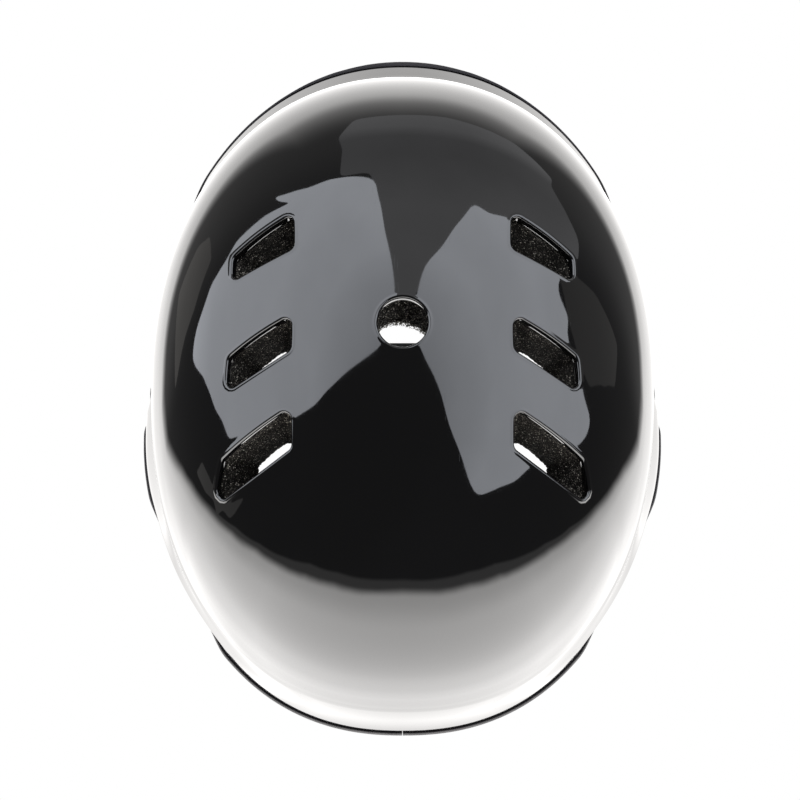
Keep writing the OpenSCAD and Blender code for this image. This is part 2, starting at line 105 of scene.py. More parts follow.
def rad(p, t):
    z = z_of_t(t)
    d = np.clip((ZC - z) / 60, 0, None)
    return plan_r(p) * np.where(np.asarray(t) < 1, np.abs(np.sin(np.radians(90 * np.clip(t, 0, 1)))) ** (2 / NV), 1) \
        - TUCK * d * d / (1 + 0.35 * d * d) + flare(np.abs(wrap(p)), z - edge_z(p))


Y0 = -(-float(rad(0.0, t_of_z(edge_z(0.0)))) + float(rad(180.0, t_of_z(edge_z(180.0))))) / 2 + 1.7 * 1.05 * 0.45 / 2


def pt(p, t):
    p = np.asarray(p, float); t = np.asarray(t, float)
    r = rad(p, t)
    return np.stack(np.broadcast_arrays(r * np.sin(np.radians(p)), Y0 - r * np.cos(np.radians(p)), z_of_t(t)), -1)


def unit(v):
    return v / np.maximum(np.linalg.norm(v, axis=-1, keepdims=True), 1e-12)


def nrm(p, t):
    p = np.asarray(p, float); t = np.asarray(t, float)
    tt = np.maximum(t, 0.02)
    n = unit(np.cross(pt(p, tt + 0.004) - pt(p, tt - 0.004), pt(p + 0.5, tt) - pt(p - 0.5, tt)))
    w = np.clip(t / 0.02, 0, 1)[..., None]
    return unit(n * w + np.array([0, 0, 1.0]) * (1 - w))


def deep(p, t, d, lv=0.0):
    n = nrm(p, t)
    h = z_of_t(t) - edge_z(p)
    w = np.maximum(lv, 1 - ss((h - 8) / 30))[..., None]
    flat = n * np.array([1, 1, 0.0])
    q = np.linalg.norm(flat, axis=-1, keepdims=True)
    e = np.where(w > 0, unit((1 - w) * n + w * flat / np.maximum(q, 1e-9)), n)
    return pt(p, t) - e * (np.asarray(d)[..., None] / (e * n).sum(-1, keepdims=True))


POST_Z, POST_F = 16.0, 14.0
POST_Y = Y0 - POST_F
EAR_Y, EAR_Z, EAR_R = Y0 + 11, 46.0, 13.0
POST_OUT = float(pt(83.0, t_of_z(POST_Z))[0])
SEAT_X = POST_OUT - 9.5
CUP_FORE = 8.0
CROWN_R = 9.9
VENTS = [
    [(43.9, 49.8), (43.5, 33.7), (68.5, 23.5), (68.4, 34.3)],
    [(44, 5.5), (44.2, -9), (70.4, -22.2), (69.5, -8.3)],
    [(44, -31.8), (44, -47.8), (75.1, -65.2), (71.9, -48.4)],
]

# ------------------------------------------------------------------ helpers


def mesh_obj(name, verts, faces, mat=None, smooth=True):
    me = bpy.data.meshes.new(name)
    me.from_pydata([tuple(v) for v in (np.asarray(verts) * MM)], [], [tuple(int(i) for i in f) for f in faces])
    me.validate()
    ob = bpy.data.objects.new(name, me)
    bpy.context.collection.objects.link(ob)
    if smooth:
        me.polygons.foreach_set("use_smooth", [True] * len(me.polygons))
    if mat:
        me.materials.append(mat)
    me.update()
    return ob


def sharpen(ob, deg=35):
    me = ob.data
    me.polygons.foreach_set("use_smooth", [True] * len(me.polygons))
    me.set_sharp_from_angle(angle=math.radians(deg))


def apply_mods(ob):
    bpy.context.view_layer.update()
    dg = bpy.context.evaluated_depsgraph_get()
    me = bpy.data.meshes.new_from_object(ob.evaluated_get(dg))
    ob.modifiers.clear()
    old = ob.data
    ob.data = me
    bpy.data.meshes.remove(old)
    return ob


def fix_normals(ob):
    bm = bmesh.new(); bm.from_mesh(ob.data)
    bmesh.ops.recalc_face_normals(bm, faces=bm.faces)
    bm.to_mesh(ob.data); bm.free()


def inside_poly(q, poly):
    x, y = q[:, 0], q[:, 1]
    r = np.zeros(len(q), bool)
    a = poly; b = np.roll(poly, -1, 0)
    for (x0, y0_), (x1, y1) in zip(a, b):
        c = ((y0_ > y) != (y1 > y))
        xi = x0 + (y - y0_) * (x1 - x0) / (y1 - y0_ + 1e-12)
        r ^= c & (x < xi)
    return r


def poly_dist(q, poly):
    d = np.full(len(q), 1e9)
    for a, b in zip(poly, np.roll(poly, -1, 0)):
        ab = b - a
        s = np.clip(((q - a) @ ab) / max(ab @ ab, 1e-9), 0, 1)
        d = np.minimum(d, np.linalg.norm(q - (a + s[:, None] * ab), axis=1))
    return d


# ------------------------------------------------------------------ shell
def dom(p, t):
    s = np.where(t <= 1, 150 * t, 150 + 80 * (t - 1))
    return np.stack([s * np.sin(np.radians(p)), s * np.cos(np.radians(p))], -1)


def dom_inv(q):
    s = np.hypot(q[..., 0], q[..., 1])
    return np.degrees(np.arctan2(q[..., 0], q[..., 1])), np.where(s <= 150, s / 150, 1 + (s - 150) / 80)


def rounded(poly, r, n=7, seg=2.2, bow=0.0):
    """Polygon with round corners; long edges get points and bow out a little."""
    out = []
    m = len(poly)
    arcs = []
    for i in range(m):
        a, b, c = poly[(i - 1) % m], poly[i], poly[(i + 1) % m]
        u, v = unit(a - b), unit(c - b)
        h = math.acos(float(np.clip(u @ v, -1, 1))) / 2
        ce = b + unit(u + v) * (r / math.sin(h))
        s, e = unit(b + u * (r / math.tan(h)) - ce), unit(b + v * (r / math.tan(h)) - ce)
        arcs.append([ce + r * unit(s * (1 - k / n) + e * (k / n)) for k in range(n + 1)])
    for i in range(m):
        out += arcs[i]
        a, b = arcs[i][-1], arcs[(i + 1) % m][0]
        L = np.linalg.norm(b - a)
        k = max(1, int(L / seg))
        t_ = unit(b - a)
        nn = np.array([t_[1], -t_[0]])
        for j in range(1, k):
            w = j / k
            out.append(a + (b - a) * w + nn * (bow * L * 4 * w * (1 - w)))
    return np.array(out)


def offset2(poly, u):
    """Moves a dense closed outline outwards by u."""
    a = np.roll(poly, 1, 0); b = np.roll(poly, -1, 0)
    t_ = unit(b - a)
    n = np.stack([t_[:, 1], -t_[:, 0]], -1)
    area = 0.5 * np.sum(poly[:, 0] * np.roll(poly[:, 1], -1) - np.roll(poly[:, 0], -1) * poly[:, 1])
    return poly + n * (u if area > 0 else -u)


def dome_z(x, f):
    q = np.clip(np.hypot(x, f) / plan_r(np.degrees(np.arctan2(x, f))), 0, 1)
    return ZC + DH * (1 - q ** NV) ** (1 / NV)


class VentTool:
    """A vent's own frame: a prism square to the surface at the vent's middle."""

    def __init__(self, corners, side):
        c = np.array([[side * x, f] for x, f in corners], float)
        p, t = np.degrees(np.arctan2(c[:, 0], c[:, 1])), t_of_plan(c[:, 0], c[:, 1])
        q = pt(p, t)
        self.o = q.mean(0)
        z = unit(np.cross(q[2] - q[0], q[3] - q[1]))
        self.z = z if z[2] > 0 else -z
        x = (q[0] - q[3]); x = x - self.z * (x @ self.z)
        self.x = unit(x)
        self.y = np.cross(self.z, self.x)
        k = np.array([[(v - self.o) @ self.x, (v - self.o) @ self.y] for v in q])
        area = 0.5 * np.sum(k[:, 0] * np.roll(k[:, 1], -1) - np.roll(k[:, 0], -1) * k[:, 1])
        if area < 0:
            k = k[::-1]
        self.poly = rounded(k, 3.0, bow=0.012)

    def line(self, k, depth=0.0):
        """Points on the outer surface over the outline k, then down the prism."""
        base = self.o + k[:, :1] * self.x + k[:, 1:] * self.y
        lam = np.zeros(len(k))
        for _ in range(12):
            q = base + lam[:, None] * self.z
            g = q[:, 2] - dome_z(q[:, 0], Y0 - q[:, 1])
            q2 = base + (lam[:, None] + 0.01) * self.z
            g2 = q2[:, 2] - dome_z(q2[:, 0], Y0 - q2[:, 1])
            lam = lam - g * 0.01 / np.where(np.abs(g2 - g) < 1e-9, 1e-9, g2 - g)
        q = base + lam[:, None] * self.z
        return q - depth * self.z

    def rows(self):
        prof = [(3.0, 0), (2.4, 0), (2.0, -0.02), (1.65, -0.08), (1.3, -0.15), (1.0, -0.14), (0.75, -0.04), (0.52, 0.12),
                (0.32, 0.32), (0.16, 0.56), (0.05, 0.85), (0.0, 1.2), (0, 2.0), (0, 2.7), (0.06, 3.1), (0.22, 3.45), (0.5, 3.7)]
        return [self.line(offset2(self.poly, u), d) for u, d in prof]


def plan_dom(q):
    x, f = q[:, 0], Y0 - q[:, 1]
    return dom(np.degrees(np.arctan2(x, f)), t_of_plan(x, f))


def side_x(y, z, side):
    """Bearing and t of the surface point at a given y and z on one side."""
    t = t_of_z(z)
    lo = np.full(len(y), 50.0); hi = np.full(len(y), 150.0)
    for _ in range(40):
        mid = (lo + hi) / 2
        yy = Y0 - rad(mid, t) * np.cos(np.radians(mid))
        lo = np.where(yy < y, mid, lo); hi = np.where(yy < y, hi, mid)
    return side * (lo + hi) / 2, t


def ring_side(r, cy, cz, side, n, x=None, inset=0.0):
    a = np.arange(n) * 2 * math.pi / n * (1 if side > 0 else -1)
    y = cy + r * np.cos(a); z = cz + r * np.sin(a)
    p, t = side_x(y, z, side)
    q = pt(p, t)
    q[:, 1] = y; q[:, 2] = z
    if x is not None:
        q[:, 0] = side * x
    else:
        q[:, 0] -= side * inset
    return q, dom(p, t)


def build_shell():
    holes = []                                     # (rows, domain outline)
    for side in (1, -1):
        for c in VENTS:
            v = VentTool(c, side)
            rows = v.rows()
            holes.append((rows, plan_dom(rows[0])))
    n = 72
    a = np.arange(n) * 2 * math.pi / n
    rows = []
    for u, d in [(3.0, 0), (2.3, 0), (1.8, -0.03), (1.4, -0.12), (1.0, -0.15), (0.7, -0.03), (0.42, 0.18), (0.22, 0.42), (0.07, 0.75),
                 (0.0, 1.15), (0, 2.0), (0, 2.8), (0.08, 3.2), (0.3, 3.6), (0.6, 3.78)]:
        x = (CROWN_R + u) * np.cos(a); f = (CROWN_R + u) * np.sin(a)
        rows.append(np.stack([x, Y0 - f, dome_z(x, f) - d], -1))
    holes.append((rows, plan_dom(rows[0])))
    for side in (1, -1):
        rows = []
        for u, d in [(3.0, 0), (2.3, 0), (1.7, 0.02), (1.2, 0.12), (0.8, 0.3), (0.45, 0.6), (0.2, 0.95), (0.05, 1.4), (0, 1.9),
                     (0, 2.6), (0.1, 3.1), (0.35, 3.5), (0.8, 3.8)]:
            q, dm = ring_side(EAR_R + u, EAR_Y, EAR_Z, side, 84, inset=d)
            rows.append(q)
            if u == 3.0:
                d0 = dm
        holes.append((rows, d0))
        rows = []
        q, d0 = ring_side(5.7 + 2.2, POST_Y, POST_Z, side, 48)
        rows.append(q)
        for u, d in [(1.4, 0), (0.8, 0.03), (0.4, 0.16), (0.12, 0.42), (0, 0.8)]:
            rows.append(ring_side(5.7 + u, POST_Y, POST_Z, side, 48, inset=d)[0])
        px = POST_OUT - 2.5
        for r, x in [(5.7, px + 0.15), (5.55, px), (3.05, px), (3.05, SEAT_X), (6.7, SEAT_X), (7.0, SEAT_X + 0.4)]:
            rows.append(ring_side(r, POST_Y, POST_Z, side, 48, x=x)[0])
        rows.append(ring_side(7.0, POST_Y, POST_Z, side, 48, inset=4.9)[0])
        rows.append(ring_side(7.3, POST_Y, POST_Z, side, 48, inset=4.4)[0])
        holes.append((rows, d0))

    # grid of points over the whole domain
    N = 66
    pts = []
    for i in range(1, N + 1):
        s_mid = 1.5 * 150 * i / N
        m = 420 if i == N else int(max(10, min(420, 2 * math.pi * s_mid / 3.1)))
        ang = -180 + (np.arange(m) + 0.5 * (i % 2)) * 360 / m
        te = t_of_z(edge_z(ang))
        fr = i / N
        pts.append((ang, te * fr))
    dpts = np.concatenate([dom(p, t) for p, t in pts[:-1]] + [np.zeros((1, 2))])
    keep = np.ones(len(dpts), bool)
    for _, dm in holes:
        lo, hi = dm.min(0) - 4, dm.max(0) + 4
        near = np.all((dpts > lo) & (dpts < hi), 1)
        idx = np.where(near)[0]
        bad = inside_poly(dpts[idx], dm) | (poly_dist(dpts[idx], dm) < 1.5)
        keep[idx[bad]] = False
    dpts = dpts[keep]
    edge = dom(*pts[-1])
    V2 = [edge]; loops = []
    base = len(edge)
    for _, dm in holes:
        loops.append((base, len(dm)))
        V2.append(dm); base += len(dm)
    V2.append(dpts)
    V2 = np.concatenate(V2)
    E = [(i, (i + 1) % len(edge)) for i in range(len(edge))]
    for b, m in loops:
        E += [(b + i, b + (i + 1) % m) for i in range(m)]
    vo, eo, fo, ov, _, _ = delaunay_2d_cdt([Vector(v) for v in V2], E, [], 0, 1e-7)
    back = np.array([o[0] if o else -1 for o in ov])
    F = np.array([[back[i] for i in f] for f in fo])
    cen = V2[F].mean(1)
    ok = inside_poly(cen, edge) & (F.min(1) >= 0)
    for _, dm in holes:
        ok &= ~inside_poly(cen, dm)
    F = F[ok]
    P_, T_ = dom_inv(V2)
    outer = pt(P_, T_)
    on = nrm(P_, T_)
    inner = deep(P_, T_, np.full(len(P_), SHELL_T))
    # wind the faces outwards
    fn = np.cross(outer[F[:, 1]] - outer[F[:, 0]], outer[F[:, 2]] - outer[F[:, 0]])
    flip = (fn * on[F[:, 0]]).sum(1) < 0
    F[flip] = F[flip][:, ::-1]
    n0 = len(V2)
    verts = [outer, inner]
    norms = [on, -on]
    faces = [tuple(f) for f in F] + [tuple(f[::-1] + n0) for f in F]
    m = len(edge)
    for i in range(m):
        j = (i + 1) % m
        faces.append((i, i + n0, j + n0, j))
    base = 2 * n0
    for (rows, _), (b, m) in zip(holes, loops):
        R = np.array(rows)                         # R[0] is on the surface loop
        R[0] = outer[b:b + m]
        full = np.concatenate([R, inner[None, b:b + m]])
        down = np.gradient(full, axis=0)
        along = np.roll(full, -1, 1) - np.roll(full, 1, 1)
        nn = unit(np.cross(along, down))
        s = np.sign((nn[0] * on[b:b + m]).sum())
        nn = nn * s
        nn[1] = unit(nn[1] * 0.3 + on[b:b + m] * 0.7)
        idx = [list(range(b, b + m))]
        for k in range(1, len(R)):
            idx.append(list(range(base, base + m))); base += m
            verts.append(R[k]); norms.append(nn[k])
        idx.append([n0 + i for i in range(b, b + m)])
        for k in range(len(idx) - 1):
            for i in range(m):
                j = (i + 1) % m
                q = (idx[k][i], idx[k][j], idx[k + 1][j], idx[k + 1][i])
                faces.append(q if s > 0 else q[::-1])
    verts = np.concatenate(verts); norms = np.concatenate(norms)
    ob = mesh_obj("shell_moulding", verts, faces)
    me = ob.data
    fix = bmesh.new(); fix.from_mesh(me)
    bmesh.ops.recalc_face_normals(fix, faces=fix.faces)
    fix.to_mesh(me); fix.free()
    me.polygons.foreach_set("use_smooth", [True] * len(me.polygons))
    me.normals_split_custom_set_from_vertices([tuple(v) for v in norms])
    return ob


# ------------------------------------------------------------------ trim
def trim_scale(a):
    """Thickness of the channel by bearing: full at the brow, thin at the temples and round the back."""
    return 0.96 - 0.35 * ss(a / 42) + 0.22 * ss((a - 60) / 25) - 0.3 * ss((a - 108) / 34)


def build_trim():
    """Rubber channel over the edge, one loop with its ends butted at the back."""
    n = 560
    ang = 180 + np.linspace(0.06, 359.94, n + 1)
    e = edge_z(ang)
    def row(h, d):
        return deep(ang, t_of_z(e + h), np.zeros(n + 1) + d)
    a, b = row(0, 0), row(0, SHELL_T)
    t0 = t_of_z(e)
    m = nrm(ang, t0) * np.array([1, 1, 0.0]); hv = unit(m)
    down = np.array([0, 0, -1.0])
    t3 = trim_scale(np.abs(wrap(ang)))
    kd = (1.7 / 1.5 * t3)[:, None]                  # thickness and leg height against a 7 by 1.5 mm leg
    kh = 4 / 7 * (1 - 0.36 * ss(np.abs(wrap(ang)) / 30))

    def leg(h, d):
        return row(h * kh, -d * kd[:, 0]), row(h * kh, SHELL_T + d * kd[:, 0])
    prof = [(6.9, 0.08), (7.15, 0.35), (7.1, 0.75), (6.6, 1.05), (5.4, 1.25), (3.9, 1.42), (2.4, 1.5), (1.1, 1.55)]
    heel = [(1.56, 0.15), (1.42, 0.75), (1.1, 1.28), (0.62, 1.66), (0.1, TB)]
    # outer leg from its thin lip down, round the heel, and up the inner leg
    sec = [leg(h, d)[0] for h, d in prof] + [a + hv * o * kd + down * z for o, z in heel]
    sec += [(a + b) / 2 + down * TB]
    sec += [b - hv * o * kd + down * z for o, z in heel[::-1]] + [leg(h, d)[1] for h, d in prof[::-1]]
    sec += [row(1.4, SHELL_T + 0.08), b - hv * 0.08 + down * 0.08, a + hv * 0.08 + down * 0.08, row(1.4, -0.08)]
    S = np.array(sec)                               # sections x stations x 3
    c = len(sec)
    # the two ends were cut and glued; this weight for them is not applied, so they do not swell
    w = np.exp(-(np.minimum(np.arange(n + 1), n - np.arange(n + 1)) / 2.0) ** 2)
    verts = S.transpose(1, 0, 2).reshape(-1, 3)
    faces = []
    for k in range(n):
        for j in range(c):
            jj = (j + 1) % c
            faces.append((k * c + j, k * c + jj, (k + 1) * c + jj, (k + 1) * c + j))
    faces.append(tuple(range(c)))
    faces.append(tuple(n * c + j for j in range(c))[::-1])
    ob = mesh_obj("edge_trim_rubber", verts, faces)
    fix_normals(ob)
    sharpen(ob, 50)
    return ob


# ------------------------------------------------------------------ foam and pads
def block(name, q, nu, nv, d0, d1, puff=0.0, lv=0.0):
    """A closed piece of the bowl between two depths, with rounded edges on the inner side."""
    u = np.linspace(0, 1, nu + 1); v = np.linspace(0, 1, nv + 1)
    U, V = np.meshgrid(u, v, indexing="ij")
    P_, T_ = q(U, V)
    O = deep(P_, T_, np.full(P_.shape, float(d0)), lv)
    e = 1 - puff + puff * np.maximum(0, 16 * U * (1 - U) * V * (1 - V)) ** 0.35
    I = deep(P_, T_, d0 + (d1 - d0) * e, lv)
    verts = np.concatenate([O.reshape(-1, 3), I.reshape(-1, 3)])
    w = nv + 1; m = (nu + 1) * w
    F = []
    for i in range(nu):
        for j in range(nv):
            a = i * w + j
            F.append((a, a + 1, a + w + 1, a + w)); F.append((m + a, m + a + w, m + a + w + 1, m + a + 1))
    for i in range(nu):
        a = i * w; F.append((a, a + w, a + w + m, a + m))
        a = i * w + nv; F.append((a, a + m, a + w + m, a + w))
    for j in range(nv):
        a = j; F.append((a, a + m, a + m + 1, a + 1))
        a = nu * w + j; F.append((a, a + 1, a + m + 1, a + m))
    ob = mesh_obj(name, verts, F)
    fix_normals(ob)
    return ob


def cutter(name, polys_rows):
    verts = np.concatenate(polys_rows); m = len(polys_rows[0])
    F = []
    for k in range(len(polys_rows) - 1):
        for i in range(m):
            j = (i + 1) % m
            F.append((k * m + i, k * m + j, (k + 1) * m + j, (k + 1) * m + i))
    F.append(tuple(range(m))[::-1]); F.append(tuple((len(polys_rows) - 1) * m + i for i in range(m)))
    ob = mesh_obj(name, verts, F)
    fix_normals(ob)
    return ob


def cut(ob, tools):
    for tl in tools:
        md = ob.modifiers.new("cut", "BOOLEAN")
        md.operation = "DIFFERENCE"; md.object = tl; md.solver = "EXACT"
        apply_mods(ob)
        bpy.data.objects.remove(tl)
    return ob


def round_edges(ob, w=1.0, seg=3, deg=40):
    md = ob.modifiers.new("round", "BEVEL")
    md.width = w * MM; md.segments = seg; md.limit_method = "ANGLE"; md.angle_limit = math.radians(deg)
    md.harden_normals = False
    apply_mods(ob)
    return ob


def plan_q(x, f):
    return np.degrees(np.arctan2(x, f)), t_of_plan(x, f)


def crown_q(U, V):
    return plan_q(lerp(-34.5, 34.5, U), lerp(-68, 58, V))


def front_q(U, V):
    p, t = plan_q(lerp(-33.5, 33.5, U), 60 + 0 * U)
    return lerp(p, lerp(-24.5, 24.5, U), V), lerp(t, t_of_z(edge_z(0) + 21), V)


def rear_q(U, V):
    p, t = plan_q(lerp(33.5, -33.5, U), -70 + 0 * U)
    return lerp(p % 360, lerp(151, 209, U), V), lerp(t, t_of_z(edge_z(180) + 16), V)


def side_bottom(p):
    return np.where(edge_z(p) > 57, edge_z(p) + 21, 76 - 10 * ss((p - 60) / 20) - 14 * ss((p - 115) / 25))


def side_q(s):
    def q(U, V):
        p, t = plan_q(36 + 0 * U, lerp(59, -69, U))
        b = lerp(26.5, 149, U)
        return s * lerp(p, b, V), lerp(t, t_of_z(side_bottom(b)), V)
    return q


def ring_z(r, z0, z1, dy=0.0, n=72):
    a = np.arange(n) * 2 * math.pi / n
    c = np.stack([r * np.cos(a), Y0 + dy + r * np.sin(a), 0 * a], -1)
    return [c + np.array([0, 0, z0]), c + np.array([0, 0, z1])]


def ring_x(r, x0, x1, cy, cz, n=72):
    a = np.arange(n) * 2 * math.pi / n
    c = np.stack([0 * a, cy + r * np.cos(a), cz + r * np.sin(a)], -1)
    return [c + np.array([x0, 0, 0]), c + np.array([x1, 0, 0])]


FUNNEL_ENDS = [(8, 23, 3.5, 10), (11.5, 26, 4.5, 10.8), (12.5, 30.5, 1.2, 7.4)]


def ring4(k, r, n=7, m=9):
    """Round-cornered outline of four corners with the same number of points every time."""
    arcs = []
    for i in range(4):
        a, b, c = k[(i - 1) % 4], k[i], k[(i + 1) % 4]
        u, v = unit(a - b), unit(c - b)
        h = math.acos(float(np.clip(u @ v, -1, 1))) / 2
        ce = b + unit(u + v) * (r / math.sin(h))
        s, e = unit(b + u * (r / math.tan(h)) - ce), unit(b + v * (r / math.tan(h)) - ce)
        arcs.append(np.array([ce + r * unit(s * (1 - j / n) + e * (j / n)) for j in range(n + 1)]))
    out = []
    for i in range(4):
        a, b = arcs[i][-1], arcs[(i + 1) % 4][0]
        out.append(arcs[i]); out.append(np.array([lerp(a, b, j / (m + 1)) for j in range(1, m + 1)]))
    return np.concatenate(out)


def funnel(corners, e):
    """The foam's opening under a vent: as wide as the vent on top, small and off to one side at the inner face."""
    c = np.array(corners, float)
    q = pt(np.degrees(np.arctan2(c[:, 0], c[:, 1])), t_of_plan(c[:, 0], c[:, 1]))
    o = q.mean(0)
    z = unit(np.cross(q[2] - q[0], q[3] - q[1])); z = z if z[2] > 0 else -z
    x = q[0] - q[3]; x = unit(x - z * (x @ z)); y = np.cross(z, x)
    k0 = np.array([[(v - o) @ x, (v - o) @ y] for v in q])
    k = k0 + unit(k0) * 0.9
    a = unit(k0[2] - k0[1]); b = np.array([-a[1], a[0]]); b = b if b @ (k0[0] - k0[1]) > 0 else -b
    g = np.array([k0[1] + a * e[0] + b * e[3], k0[1] + a * e[0] + b * e[2], k0[1] + a * e[1] + b * e[2], k0[1] + a * e[1] + b * e[3]])
    top, low = ring4(k, 3.0), ring4(g, 2.5)
    rows = []
    rng = np.random.default_rng(int(abs(c[0][0]) * 10) + 5)
    for h, w in [(8, 0), (-5, 0)] + [(-5 - 17 * i / 8, (i / 8) ** 0.75) for i in range(1, 9)] + [(-40, 1)]:
        r = lerp(top, low, w)
        r = r + rng.normal(0, 0.32, (len(r), 1)) * unit(r - r.mean(0)) * ss((-h - 9) / 9)
        rows.append(o + r[:, :1] * x + r[:, 1:] * y + z * h)
    return cutter("c", rows)


def crown_collar():
    """Wall of the crown hole in the foam, cut rough: a tube from under the shell to below the pad."""
    n, m = 420, 110
    r0, r1 = CROWN_R + 0.8, CROWN_R + 4.0
    top, low = ZC + DH - LINER0 - 0.35, ZC + DH - CROWN1 - 8.8
    a = np.arange(n) * 2 * math.pi / n
    rng = np.random.default_rng(41)

    def grain(rows, cols, amp):
        g = rng.normal(0, 1, (rows, cols))
        for _ in range(1):
            g = (g + np.roll(g, 1, 1) + np.roll(g, -1, 1)) / 1.9
        return np.clip(g, -2, 2) * amp
    prof = [(r1, top - 1.5), (r1 - 0.4, top - 0.3)] + [(r0 + 1.6 - 1.6 * k / 4, top - 0.25 * (k == 0)) for k in range(4)]
    wall = [(r0, lerp(top - 0.5, low + 0.8, k / (m - 1))) for k in range(m)]
    prof += wall + [(r0 + 0.3, low + 0.2), (r0 + 1.1, low), (r1 - 0.8, low), (r1, low + 0.7), (r1, (top + low) / 2)]
    R_ = np.array([q[0] for q in prof])[:, None] + 0 * a
    Z_ = np.array([q[1] for q in prof])[:, None] + 0 * a
    w = np.zeros(len(prof)); w[6:6 + m] = 1
    g = grain(len(prof), n, 0.13)
    # ragged lower rim: broken beads of 2 to 3 mm with finer crumbs
    rim = rng.random(n) * 1.6
    rim = (rim * 2 + np.roll(rim, 1)) / 3 - 0.4 + 0.15 * np.sin(a * 9 + 1.3)
    side = np.arctan2(np.sin(-math.pi / 2 - a), np.cos(-math.pi / 2 - a)) - math.radians(15)   # from the far side of the wall
    # painted light: lit rises towards the lower rim, where light from below reaches the wall; the flecks grow, multiply
    # and brighten with it, and the rim crumbles away with it
    lit = np.clip((ss((low + 9.5 - Z_) / 9.5)), 0, 1)
    R_ = R_ + (g - 3.0 * ss((top - Z_) / (top - low)) * np.where(np.abs(side) < 1.2, np.clip(np.cos(1.3 * side), 0, 1), 0)) * w[:, None]
    Z_ = Z_ + rim[None, :] * np.clip((low + 9.0 - Z_) / 9.0, 0, 1) ** 1.2
    P_ = np.stack([R_ * np.cos(a), Y0 + R_ * np.sin(a), Z_], -1)
    c = len(prof)
    faces = [(j * n + i, j * n + (i + 1) % n, ((j + 1) % c) * n + (i + 1) % n, ((j + 1) % c) * n + i) for j in range(c) for i in range(n)]
    ob = mesh_obj("crown_foam_collar", P_.reshape(-1, 3), faces)
    fix_normals(ob)
    # the painted rim light, which also crumbles the rim, goes to the material as a point attribute
    at = ob.data.attributes.new("broken", "FLOAT", "POINT")
    at.data.foreach_set("value", lit.ravel().astype(np.float32))
    return ob


def build_liners():
    out = []
    ob = block("crown_foam", crown_q, 36, 60, LINER0, CROWN1)
    cut(ob, [cutter("c", ring_z(CROWN_R + 2.6, ZC + DH - 40, ZC + DH + 10))])
    out.append((ob, "crown_liner"))
    out.append((crown_collar(), "crown_liner"))
    out.append((block("front_foam", front_q, 40, 30, LINER0, LINER1), "front_liner"))
    out.append((block("rear_foam", rear_q, 44, 40, LINER0, LINER1), "rear_liner"))
    ob = block("left_side_foam", side_q(1), 84, 46, LINER0, LINER1)
    cut(ob, [funnel(c, e) for c, e in zip(VENTS, FUNNEL_ENDS)])
    out.append((ob, "left_side_liner"))
    out.append((mirror_obj(ob, "right_side_foam"), "right_side_liner"))
    for ob, node in out:
        if ob.name != "crown_foam_collar":
            round_edges(ob, 1.1, 3, 42)
        sharpen(ob, 38)
        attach(ob, "helmet"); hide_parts(node)
    return [o for o, _ in out]


# ------------------------------------------------------------------ materials
def new_mat(name):
    m = bpy.data.materials.new(name); m.use_nodes = True
    nt = m.node_tree
    b = nt.nodes["Principled BSDF"]
    tc = nt.nodes.new("ShaderNodeTexCoord")
    return m, nt, b, tc.outputs["Object"]


def node(nt, kind, ins=None, **props):
    n = nt.nodes.new(kind)
    for k, v in props.items():
        setattr(n, k, v)
    for k, v in (ins or {}).items():
        s = n.inputs[k]
        if hasattr(v, "is_output"):
            nt.links.new(v, s)
        else:
            s.default_value = v
    return n


def noise(nt, vec, scale, detail=2, rough=0.5, dist=0.0):
    return node(nt, "ShaderNodeTexNoise", {"Vector": vec, "Scale": scale, "Detail": detail, "Roughness": rough, "Distortion": dist})


def voro(nt, vec, scale, feature="F1", smooth=None, rnd=1.0):
    n = nt.nodes.new("ShaderNodeTexVoronoi"); n.feature = feature
    nt.links.new(vec, n.inputs["Vector"]); n.inputs["Scale"].default_value = scale
    n.inputs["Randomness"].default_value = rnd
    if smooth is not None:
        n.inputs["Smoothness"].default_value = smooth
    return n


def ramp(nt, fac, stops):
    r = nt.nodes.new("ShaderNodeValToRGB")
    nt.links.new(fac, r.inputs["Fac"])
    e = r.color_ramp.elements
    while len(e) < len(stops):
        e.new(0.5)
    for el, (pos, col) in zip(e, stops):
        el.position = pos; el.color = (*col, 1) if len(col) == 3 else col
    return r.outputs["Color"]


def maths(nt, op, a, b=0.0, c=None):
    n = nt.nodes.new("ShaderNodeMath"); n.operation = op
    for i, v in enumerate((a, b) if c is None else (a, b, c)):
        if hasattr(v, "is_output"):
            nt.links.new(v, n.inputs[i])
        else:
            n.inputs[i].default_value = v
    return n.outputs[0]


def mixc(nt, fac, a, b, mode="MIX"):
    n = nt.nodes.new("ShaderNodeMix"); n.data_type = "RGBA"; n.blend_type = mode
    for i, v in ((0, fac), (6, a), (7, b)):
        if hasattr(v, "is_output"):
            nt.links.new(v, n.inputs[i])
        else:
            n.inputs[i].default_value = v if i == 0 else (*v, 1)
    return n.outputs[2]


def bump(nt, height, strength, dist, normal=None):
    n = nt.nodes.new("ShaderNodeBump")
    n.inputs["Strength"].default_value = strength; n.inputs["Distance"].default_value = dist
    nt.links.new(height, n.inputs["Height"])
    if normal is not None:
        nt.links.new(normal, n.inputs["Normal"])
    return n.outputs["Normal"]


def stretch(nt, vec, s):
    n = nt.nodes.new("ShaderNodeMapping"); n.inputs["Scale"].default_value = s
    nt.links.new(vec, n.inputs["Vector"])
    return n.outputs["Vector"]


